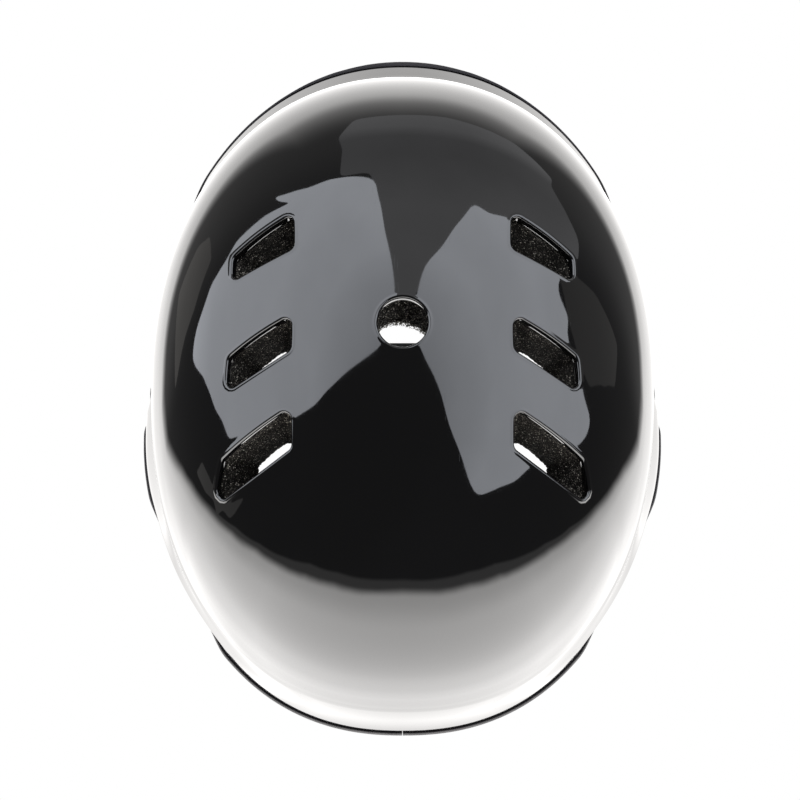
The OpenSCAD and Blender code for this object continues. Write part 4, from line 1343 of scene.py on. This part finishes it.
        sp = node(nt, "ShaderNodeSeparateXYZ", {0: tc.outputs["Object"]}).outputs
        if axis == "z":
            val = maths(nt, "DIVIDE", sp[2], far)
        else:
            val = maths(nt, "DIVIDE", sp[1], maths(nt, "ADD", sp[2], far))
        val = maths(nt, "ADD", maths(nt, "MULTIPLY", val, 0.5), 0.5)
        top = max(s_ for _, s_ in stops)
        rp = node(nt, "ShaderNodeSeparateColor", {0: ramp(nt, val, [(0.5 + 0.5 * a_, (s_ / top,) * 3) for a_, s_ in stops])}).outputs[0]
        cloud = noise(nt, node(nt, "ShaderNodeVectorMath", {0: tc.outputs["Object"], 1: (1 / far,) * 3}, operation="MULTIPLY").outputs[0], 2.2, 3, 0.5).outputs["Fac"]
        rp = maths(nt, "MULTIPLY", rp, maths(nt, "ADD", 0.86, maths(nt, "MULTIPLY", cloud, 0.28)))
        em = nt.nodes.new("ShaderNodeEmission"); em.inputs["Color"].default_value = (*tint, 1)
        nt.links.new(maths(nt, "MULTIPLY", rp, top), em.inputs["Strength"])
        out = nt.nodes.new("ShaderNodeOutputMaterial"); nt.links.new(em.outputs[0], out.inputs[0])
        me.materials.append(m)
        ob.visible_camera = False

    cool = (0.95, 0.985, 1.06)
    card("card_left", [(-0.555, -0.631), (-0.485, -0.612), (-0.343, -0.591), (-0.279, -0.600), (-0.165, -0.591), (-0.083, -0.563), (-0.066, -0.473),
                       (-0.045, -0.355), (-0.024, -0.260), (-0.017, -0.189), (-0.047, -0.106), (-0.118, -0.078), (-0.189, -0.052), (-0.295, 0.005),
                       (-0.390, 0.024), (-0.60, 0.03), (-0.827, 0.019), (-0.875, -0.047), (-0.945, -0.099), (-0.993, -0.158), (-1.075, -0.232),
                       (-1.182, -0.295), (-1.253, -0.347), (-1.194, -0.395), (-1.075, -0.437), (-1.005, -0.480), (-0.863, -0.506), (-0.792, -0.548),
                       (-0.591, -0.563), (-0.444, -0.555), (-0.508, -0.584)], 18, cool, [(0.0, 4.3), (0.55, 5.1), (0.82, 5.0), (0.93, 3.9), (1.0, 3.1)])
    card("card_right", [(0.248, -0.492), (0.307, -0.463), (0.392, -0.473), (0.591, -0.496), (0.756, -0.421), (0.697, -0.373), (0.657, -0.336),
                        (0.667, -0.295), (0.742, -0.260), (0.709, -0.217), (0.827, -0.177), (0.863, -0.125), (0.962, -0.071), (0.941, -0.024),
                        (0.875, 0.024), (0.70, 0.07), (0.496, 0.147), (0.425, 0.194), (0.331, 0.220), (0.248, 0.248), (0.206, 0.194), (0.184, 0.142),
                        (0.132, 0.066), (0.111, -0.005), (0.047, -0.090), (0.024, -0.165), (0.059, -0.267), (0.130, -0.336), (0.189, -0.414)],
         18, cool, [(0.0, 4.0), (0.55, 4.9), (0.82, 4.8), (0.93, 3.9), (1.0, 3.1)])
    card("card_front", [(-0.10, -0.60), (-0.05, -0.30), (-0.02, -0.19), (0.03, -0.19), (0.20, -0.40), (0.60, -0.44), (0.86, -0.50), (0.90, -0.62), (0.80, -0.74),
                        (0.74, -0.82), (0.78, -0.90), (0.55, -1.02), (0.20, -1.06), (-0.20, -1.04), (-0.26, -0.88), (-0.225, -0.76), (-0.225, -0.60)],
         20, (0.99, 0.99, 1.01), [(-1.0, 0.95), (-0.92, 0.95), (-0.83, 0.66), (-0.70, 0.72), (-0.6, 0.85), (-0.45, 1.05), (-0.2, 1.1)], "v")
    card("card_far_left", [(-1.05, -0.62), (-1.25, -0.50), (-1.7, -0.45), (-1.7, -0.9), (-1.35, -0.92), (-1.15, -0.82)], 20, (1, 0.97, 0.93), [(-1.0, 0.5), (1.0, 0.5)])
    card("card_far_right", [(0.66, -0.40), (1.02, -0.45), (1.35, -0.42), (1.30, -0.28), (0.92, -0.16), (0.74, -0.24)], 20, (1, 0.98, 0.95), [(-1.0, 0.36), (1.0, 0.36)])
    card("card_rear_left", [(-0.76, 0.22), (-0.90, 0.235), (-0.98, 0.18), (-1.08, 0.16), (-1.20, 0.02), (-1.34, 0.04), (-1.24, 0.15), (-1.12, 0.20), (-1.14, 0.27), (-1.02, 0.25), (-0.97, 0.30), (-0.86, 0.27)], 20, (1, 0.98, 0.95), [(-1.0, 0.5), (1.0, 0.5)])

    # the floor: a plain white table to the camera; its glow on the helmet comes from the world above
    me = bpy.data.meshes.new("floor")
    s = 2.4
    me.from_pydata([(-s, -s, -0.0002), (s, -s, -0.0002), (s, s, -0.0002), (-s, s, -0.0002)], [], [(0, 1, 2, 3)])
    fl_ = bpy.data.objects.new("floor", me); bpy.context.collection.objects.link(fl_)
    m = bpy.data.materials.new("floor_white"); m.use_nodes = True
    nt = m.node_tree; nt.nodes.clear()
    tr = nt.nodes.new("ShaderNodeBsdfTransparent")
    emc = nt.nodes.new("ShaderNodeEmission"); emc.inputs["Strength"].default_value = 1.0
    lp = nt.nodes.new("ShaderNodeLightPath")
    mx = nt.nodes.new("ShaderNodeMixShader")
    nt.links.new(lp.outputs["Is Camera Ray"], mx.inputs[0]); nt.links.new(tr.outputs[0], mx.inputs[1]); nt.links.new(emc.outputs[0], mx.inputs[2])
    out = nt.nodes.new("ShaderNodeOutputMaterial"); nt.links.new(mx.outputs[0], out.inputs[0])
    me.materials.append(m)


def finish_piece(ob, mat, body, slot, *nodes):
    ob.data.materials.clear(); ob.data.materials.append(mat)
    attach(ob, body)
    if nodes:
        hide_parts(*nodes)
    return ob


def build_fittings(M):
    """Posts, caps, eyelets, slider, keeper, chin rest."""
    for side, nm in ((1, "left"), (-1, "right")):
        x1 = POST_OUT - 1.0
        head = lathe_x("post_" + nm, [(x1 - 0.55, 0), (x1 - 0.55, 1.2), (x1 - 0.2, 2.0), (x1 - 0.02, 3.2), (x1 - 0.08, 4.3), (x1 - 0.4, 5.05),
                                      (x1 - 0.85, 5.38), (x1 - 1.3, 5.38), (x1 - 1.43, 5.2), (x1 - 1.45, 3.2), (x1 - 1.6, 2.95),
                                      (SEAT_X - 5.1, 2.95), (SEAT_X - 5.4, 2.6), (SEAT_X - 5.4, 0)], POST_Y, POST_Z)
        arms = []
        for a, b in ((3.4, 0.75), (0.75, 3.4)):
            arms.append(prism_x("c", [(POST_Y - a, POST_Z - b), (POST_Y + a, POST_Z - b), (POST_Y + a, POST_Z + b), (POST_Y - a, POST_Z + b)], x1 - 0.95, x1 + 1))
        cut(head, arms)
        round_edges(head, 0.12, 2, 40); sharpen(head, 40)
        cap = lathe_x("cap_" + nm, [(SEAT_X - 3.6, 3.0), (SEAT_X - 3.6, 5.5), (SEAT_X - 3.85, 5.8), (SEAT_X - 5.2, 5.8), (SEAT_X - 5.55, 5.45),
                                    (SEAT_X - 5.6, 4.6), (SEAT_X - 6.3, 4.4), (SEAT_X - 6.6, 4.0), (SEAT_X - 6.6, 1.7), (SEAT_X - 6.3, 1.3),
                                    (SEAT_X - 6.3, 0), (SEAT_X - 5.45, 0), (SEAT_X - 5.45, 3.0)], POST_Y, POST_Z, 96)

        def flute(co):
            d = co[:, 1:] - np.array([POST_Y, POST_Z]); r = np.hypot(d[:, 0], d[:, 1]); a = np.arctan2(d[:, 1], d[:, 0])
            k = np.where(r > 5.3, 1 - 0.045 * (0.5 - 0.5 * np.cos(16 * a)), 1)
            co[:, 1] = POST_Y + d[:, 0] * k; co[:, 2] = POST_Z + d[:, 1] * k
            return co
        deform(cap, flute); sharpen(cap, 40)
        # eyelet: a ring with a tab that holds the webbing
        a = np.linspace(0, math.pi, 33)
        tab = [(-8.4, -11 + 1.2), (-8.2, -11 + 0.5), (-7.4, -11), (7.4, -11), (8.2, -11 + 0.5), (8.4, -11 + 1.2)]
        arc = [(8.4 * math.cos(t), 8.4 * math.sin(t)) for t in a]
        o = np.array(tab + arc) + np.array([POST_Y, POST_Z])
        eye = prism_x("eyelet_" + nm, o, EYE_X0, EYE_X0 + 3)
        holes = [cutter("c", ring_x(3.02, EYE_X0 - 1, EYE_X0 + 4, POST_Y, POST_Z))]
        holes.append(prism_x("c", box_pts(POST_Y - 10.2, POST_Y + 10.2, POST_Z - 12.1, POST_Z - 8.0, 0.2, 2), EYE_MID - 0.8, EYE_MID + 0.8))
        # shallow pockets on the inner face, left and right of the ring
        for s in (-1, 1):
            holes.append(prism_x("c", box_pts(POST_Y + s * 5.9 - 1.3, POST_Y + s * 5.9 + 1.3, POST_Z - 7.3, POST_Z - 2.2, 0.8), EYE_X0 - 1, EYE_X0 + 0.55))
        cut(eye, holes)
        round_edges(eye, 0.35, 3, 40); sharpen(eye, 40)
        collar = lathe_x("eyelet_collar_" + nm, [(EYE_X0 - 0.0, 3.3), (EYE_X0 - 0.26, 3.6), (EYE_X0 - 0.28, 5.0), (EYE_X0 - 0.05, 5.4), (EYE_X0 + 0.3, 5.4), (EYE_X0 + 0.3, 3.3)], POST_Y, POST_Z)
        sharpen(collar, 50)
        if side < 0:
            for ob in (head, cap, eye, collar):
                deform(ob, lambda co: co * np.array([-1, 1, 1])); ob.data.flip_normals()
        finish_piece(head, M["plastic"], "helmet", "strap_plastic", "strap_posts")
        finish_piece(cap, M["plastic"], "helmet", "strap_plastic", "post_caps")
        finish_piece(eye, M["plastic"], "chin_strap", "strap_plastic", nm + "_strap_eyelet")
        finish_piece(collar, M["plastic"], "chin_strap", "strap_plastic", nm + "_strap_eyelet")

    # adjuster: a ladder slider with a centre bar and grip ribs
    x0 = 74.0; y0_, y1_ = POST_Y - 12.5, POST_Y + 12.5
    s = prism_z("slider", box_pts(x0, x0 + 8, y0_, y1_, 1.2), WEB_Z - 1.9, WEB_Z + 2.5)
    tools = [prism_x("c", box_pts(POST_Y - 10.4, POST_Y + 10.4, WEB_Z - 0.85, WEB_Z + 0.85, 0.3, 2), x0 - 1, x0 + 9)]
    tools.append(prism_z("c", box_pts(x0 + 2.6, x0 + 5.4, POST_Y - 10.4, POST_Y + 10.4, 0.5, 3), WEB_Z, WEB_Z + 5))
    for e in (-1, 1):
        for k in (-1, 0, 1):
            c = x0 + 4 + 2.0 * k
            tools.append(prism_z("c", box_pts(c - 0.35, c + 0.35, POST_Y + e * 11.45 - 0.75, POST_Y + e * 11.45 + 0.75, 0.3, 3), WEB_Z + 2.1, WEB_Z + 5))
    cut(s, tools); round_edges(s, 0.28, 3, 40); sharpen(s, 40)
    finish_piece(s, M["plastic"], "strap_adjuster", "strap_plastic", "strap_slider")

    # keeper: a woven elastic band closed round the strap
    n = 220
    hw, hh, r = WEB_W / 2 + 0.95, 1.25, 1.0
    o = box_pts(-hw, hw, -hh, hh, r, 10)
    o = np.column_stack([o, 0 * o[:, 0]]); o = resample(o, n)[:, :2]
    W = np.linspace(0, 7, 29)
    tn = np.roll(o, -1, 0) - np.roll(o, 1, 0); nn = unit(np.stack([tn[:, 1], -tn[:, 0]], -1))
    V = []
    ph = np.arange(n) * 2 * math.pi * 55 / n
    for sg in (1, -1):
        for i, w in enumerate(W):
            e = min(1.0, min(w, 7 - w) / 0.5)
            th = 0.50 * math.sqrt(max(0, 1 - (1 - e) ** 2)) - 0.05
            rib = 0.055 * np.cos(ph + (i % 2) * math.pi) if sg > 0 else 0
            q = o + nn * (sg * th + (rib if sg > 0 else 0) * e)[..., None] if sg > 0 else o - nn * th
            V.append(np.column_stack([np.full(n, -81.5 + w), POST_Y + q[:, 0], WEB_Z + q[:, 1]]))
    V = np.concatenate(V); m = len(W); F = []
    for g in (0, m):
        for i in range(m - 1):
            for j in range(n):
                jj = (j + 1) % n; a = (g + i) * n
                F.append((a + j, a + n + j, a + n + jj, a + jj))
    for i in (0, m - 1):
        for j in range(n):
            jj = (j + 1) % n
            F.append((i * n + j, i * n + jj, (m + i) * n + jj, (m + i) * n + j))
    kp = mesh_obj("keeper_band", V, F); fix_normals(kp)
    finish_piece(kp, M["elastic"], "keeper_loop", "keeper_elastic", "strap_keeper")

    # chin rest: a plate with softened edges, a passage through it for the strap, two rows of vents and a shallow pocket
    # underneath
    cy = POST_Y - CUP_FORE
    o = box_pts(-41, 41, cy - 20.5, cy + 20.5, 9, 10)
    c = prism_z("chin_rest", o, 0.4, 4.0)
    tools = [prism_x("c", box_pts(POST_Y - 10.5, POST_Y + 10.5, WEB_Z - 0.85, WEB_Z + 0.85, 0.3, 2), -45, 45)]
    for e in (-1, 1):
        for k in range(-3, 4):
            tools.append(prism_z("c", box_pts(k * 9.6 - 2.6, k * 9.6 + 2.6, cy - 8.4 + e * 6 - 0.9, cy - 8.4 + e * 6 + 0.9, 0.85, 5), -1, 6))
    tools.append(prism_z("c", box_pts(-30, 30, POST_Y - 7.5, POST_Y + 7.5, 5, 8), -1, 0.85))
    cut(c, tools); round_edges(c, 0.4, 3, 40); sharpen(c, 40)
    finish_piece(c, M["cup"], "chin_rest", "chin_cup_plastic", "chin_cup")


def build_dots(mat):
    """Round hook fasteners: a low disc with a soft rim, on the foam."""
    V = []; F = []
    spots = [(-13, 98 + TB, 8), (13, 98 + TB, 8), (168, 64 + TB, 8), (192, 64 + TB, 8), (75, 104 + TB, 8), (105, 104 + TB, 8), (-75, 104 + TB, 8), (-105, 104 + TB, 8)]
    items = [(deep(p, t_of_z(z), LINER1 + 1.8), nrm(p, t_of_z(z)), r) for p, z, r in spots]
    for p in (0.0, 180.0):
        t = t_of_plan(0.0, 30.0)
        items.append((deep(p, t, CROWN1 + 1.8), nrm(p, t), 8))
    for s in (-1, 1):
        for p, z in ((88.6, 60), (88.6, 33), (104, 60), (104, 33)):
            items.append((deep(s * p, t_of_z(z), SHELL_T + 1.6), nrm(s * p, t_of_z(z)), 3.4))
    for c, nv, r in items:
        c = np.array(c, float).reshape(3); nv = np.array(nv, float).reshape(3)
        a = unit(np.cross(nv, [0.2, 0.3, 0.9])); b = np.cross(nv, a)
        n = 48; ang = np.arange(n) * 2 * math.pi / n
        prof = [(0.0, r - 0.35), (0.08, r - 0.08), (0.3, r), (0.6, r), (0.82, r - 0.1), (0.9, r - 0.35), (0.84, r * 0.6), (0.86, r * 0.25)]
        o = len(V) and sum(len(q) for q in V)
        ring = [c + nv * h + q * (np.cos(ang)[:, None] * a + np.sin(ang)[:, None] * b) for h, q in prof]
        V.append(np.concatenate(ring + [np.array([c + nv * 0.86]), np.array([c])]))
        for i in range(len(prof) - 1):
            for j in range(n):
                jj = (j + 1) % n
                F.append((o + i * n + j, o + i * n + jj, o + (i + 1) * n + jj, o + (i + 1) * n + j))
        top = o + len(prof) * n
        for j in range(n):
            jj = (j + 1) % n
            F.append((o + (len(prof) - 1) * n + j, o + (len(prof) - 1) * n + jj, top)); F.append((o + jj, o + j, top + 1))
    ob = mesh_obj("hook_dots", np.concatenate(V), F)
    fix_normals(ob); sharpen(ob, 50)
    finish_piece(ob, mat, "helmet", "hook_tape", "pad_hook_dots")


def build_pads(M):
    def pad(name, q, node_, d0, d1, nu, nv, lines=(), hole=None, **kw):
        ob, pipe = pad_piece(name, q, d0, d1, nu, nv, lines, hole, **kw)
        out = [(ob, pipe, node_)]
        return out
    made = []
    fq = lambda U, V: (lerp(-23, 23, U), lerp(t_of_z(edge_z(0) + 53), t_of_z(edge_z(0) + 24), V))
    s = np.linspace(0.06, 0.94, 30)
    made += pad("front_pad_soft", fq, "front_pad", PAD0, PAD1, 22, 14,
                [line_q(fq, 0 * s + k, s, PAD1) for k in (0.27, 0.5, 0.73)])
    rq = lambda U, V: (lerp(155, 205, U), lerp(t_of_z(84), t_of_z(46), V))
    made += pad("rear_pad_soft", rq, "rear_pad", PAD0, PAD1, 24, 14,
                [line_q(rq, 0 * s + k, s, PAD1) for k in (0.25, 0.5, 0.75)])
    cq = lambda U, V: plan_q(lerp(-34, 34, U), lerp(-44, 44, V))
    ring = np.linspace(0, 2 * math.pi, 80)
    cl = []
    for r in (22.5,):
        x, f = r * np.cos(ring), r * np.sin(ring)
        p, t = plan_q(x, f); cl.append(deep(p, t, np.full(len(p), CROWN1 + 9)))
    for a in (45, 135, 225, 315):
        rr = np.linspace(23, 44, 20); x, f = rr * math.cos(math.radians(a)), rr * math.sin(math.radians(a))
        ok = (np.abs(x) < 32) & (np.abs(f) < 42)
        p, t = plan_q(x[ok], f[ok]); cl.append(deep(p, t, np.full(len(p), CROWN1 + 9)))
    ob, pipe = pad_piece("crown_pad_soft", cq, CROWN1 + 2, CROWN1 + 9, 26, 32, cl, cutter("c", ring_z(CROWN_R + 4.9, ZC + DH - 60, ZC + DH + 10)))
    made.append((ob, pipe, "crown_pad"))
    p, t = plan_q((CROWN_R + 4.8) * np.cos(ring[:-1]), (CROWN_R + 4.8) * np.sin(ring[:-1]))
    loop = snap(deep(p, t, np.full(len(p), CROWN1 + 5.5)), ob, 0.1)
    extra = [(tube("crown_pad_soft_ring", smooth_loop(loop), 0.8, n=8), "crown_pad")]
    sq = lambda U, V: (lerp(58, 124, U), lerp(t_of_z(122), t_of_z(86), V))
    side = pad("left_side_pad_soft", sq, "left_side_pad", PAD0, PAD1, 26, 14,
               [line_q(sq, 0 * s + k, s, PAD1) for k in (0.25, 0.5, 0.75)])
    eq = lambda U, V: (lerp(85, 108.5, U), lerp(t_of_z(64), t_of_z(28), V))
    a = np.linspace(0, 2 * math.pi, 90)
    yy, zz = EAR_Y + 17.4 * np.cos(a), EAR_Z + 16.8 * np.sin(a)
    p, t = side_x(yy, zz, 1)
    el = [deep(p, t, np.full(len(p), SHELL_T + 2 + 16.0), 1.0)]
    ear = pad_piece("left_ear_pad_soft", eq, SHELL_T + 2, SHELL_T + 18, 18, 16, (), cutter("c", ring_x(EAR_R + 2.1, 60, 140, EAR_Y, EAR_Z)), cap_in=1.2, cap_out=0.7, lv=1.0)
    groove(ear[0], el, 1.4, 1.0, out_of_bowl)
    yy, zz = EAR_Y + (EAR_R + 1.9) * np.cos(a[:-1]), EAR_Z + (EAR_R + 1.9) * np.sin(a[:-1])
    p, t = side_x(yy, zz, 1)
    lp = snap(deep(p, t, np.full(len(p), SHELL_T + 15.8), 1.0), ear[0], 0.15)
    ering = tube("left_ear_pad_soft_ring", smooth_loop(lp), 0.8, n=8)
    made += side + [(ear[0], ear[1], "left_ear_pad")]
    extra.append((ering, "left_ear_pad"))
    for ob, pipe, node_ in list(side) + [(ear[0], ear[1], "left_ear_pad")]:
        rn = node_.replace("left", "right")
        made.append((mirror_obj(ob, ob.name.replace("left", "right")), mirror_obj(pipe, pipe.name.replace("left", "right")), rn))
    extra.append((mirror_obj(ering, "right_ear_pad_soft_ring"), "right_ear_pad"))
    for ob, pipe, node_ in made:
        finish_piece(ob, M["fabric"], "helmet", "pad_fabric", node_)
        finish_piece(pipe, M["piping"], "helmet", "pad_fabric", node_)
    for ob, node_ in extra:
        finish_piece(ob, M["piping"], "helmet", "pad_fabric", node_)

    # chin pad
    cy = POST_Y - CUP_FORE
    o = box_pts(-36.9, 36.9, cy - 16.9, cy + 16.9, 8, 8)
    ob = prism_z("chin_pad_soft", o, 4.6, 8.9)
    simulate(ob, 3.6, 20, 4.0, lambda v: np.tile([0, 0, -1.0], (len(v), 1)), 1.1, 0.35)
    xs = np.linspace(-14.5, 14.5, 40)
    groove(ob, [np.column_stack([0 * xs + k, cy + xs, 0 * xs + 10.2]) for k in (-18, 0, 18)], 2.0, 1.2, lambda v: np.tile([0, 0, -1.0], (len(v), 1)))
    deform(ob, lambda co: np.column_stack([co[:, 0], co[:, 1], np.clip(co[:, 2], 4.12, 10.1)]))
    oo = resample(np.column_stack([box_pts(-37.4, 37.4, cy - 17.4, cy + 17.4, 8, 8), np.full(len(box_pts(0, 40, 0, 40, 8, 8)), 5.2)]), 240)
    pipe = tube("chin_pad_soft_piping", snap(oo, ob, 0.1), 0.75, n=8)
    finish_piece(ob, M["fabric"], "chin_rest", "pad_fabric", "chin_pad")
    finish_piece(pipe, M["piping"], "chin_rest", "pad_fabric", "chin_pad")


def main():
    build_studio()
    M = dict(shell=mat_shell(), trim=mat_trim(), foam=mat_foam(), foam_cut=mat_foam("bead_foam_cut", 0.42), fabric=mat_fabric(), piping=mat_piping(), hook=mat_hook(),
             web=mat_web(), elastic=mat_web("keeper_elastic", 0.010), plastic=mat_plastic("strap_plastic", 0.012, 0.36),
             cup=mat_plastic("chin_cup_plastic", 0.016, 0.5, 1400, 0.00008, 0.6), thread=mat_web("strap_thread", 0.03))
    sh = build_shell()
    finish_piece(sh, M["shell"], "helmet", "shell_gloss", "outer_shell")
    tr = build_trim()
    finish_piece(tr, M["trim"], "helmet", "trim_rubber", "edge_trim")
    for ob in build_liners():
        ob.data.materials.clear(); ob.data.materials.append(M["foam_cut" if "collar" in ob.name else "foam"])
    build_dots(M["hook"])
    build_fittings(M)
    for nm, s in (("left", 1), ("right", -1)):
        w = build_web(nm + "_web", s)
        finish_piece(w, M["web"], "chin_strap", "strap_webbing", nm + "_webbing")
        z = WEB_Z + WEB_T / 2 + 0.02
        pts = [(s * 45.5, POST_Y - 7.6, z), (s * 47.0, POST_Y - 7.6, z), (s * 47.0, POST_Y + 7.6, z), (s * 45.5, POST_Y + 7.6, z)]
        st = stitches(nm + "_web_stitch", resample(np.array(pts), 60, closed=False), 20)
        finish_piece(st, M["thread"], "chin_strap", "strap_webbing", nm + "_webbing")
    build_pads(M)


main()
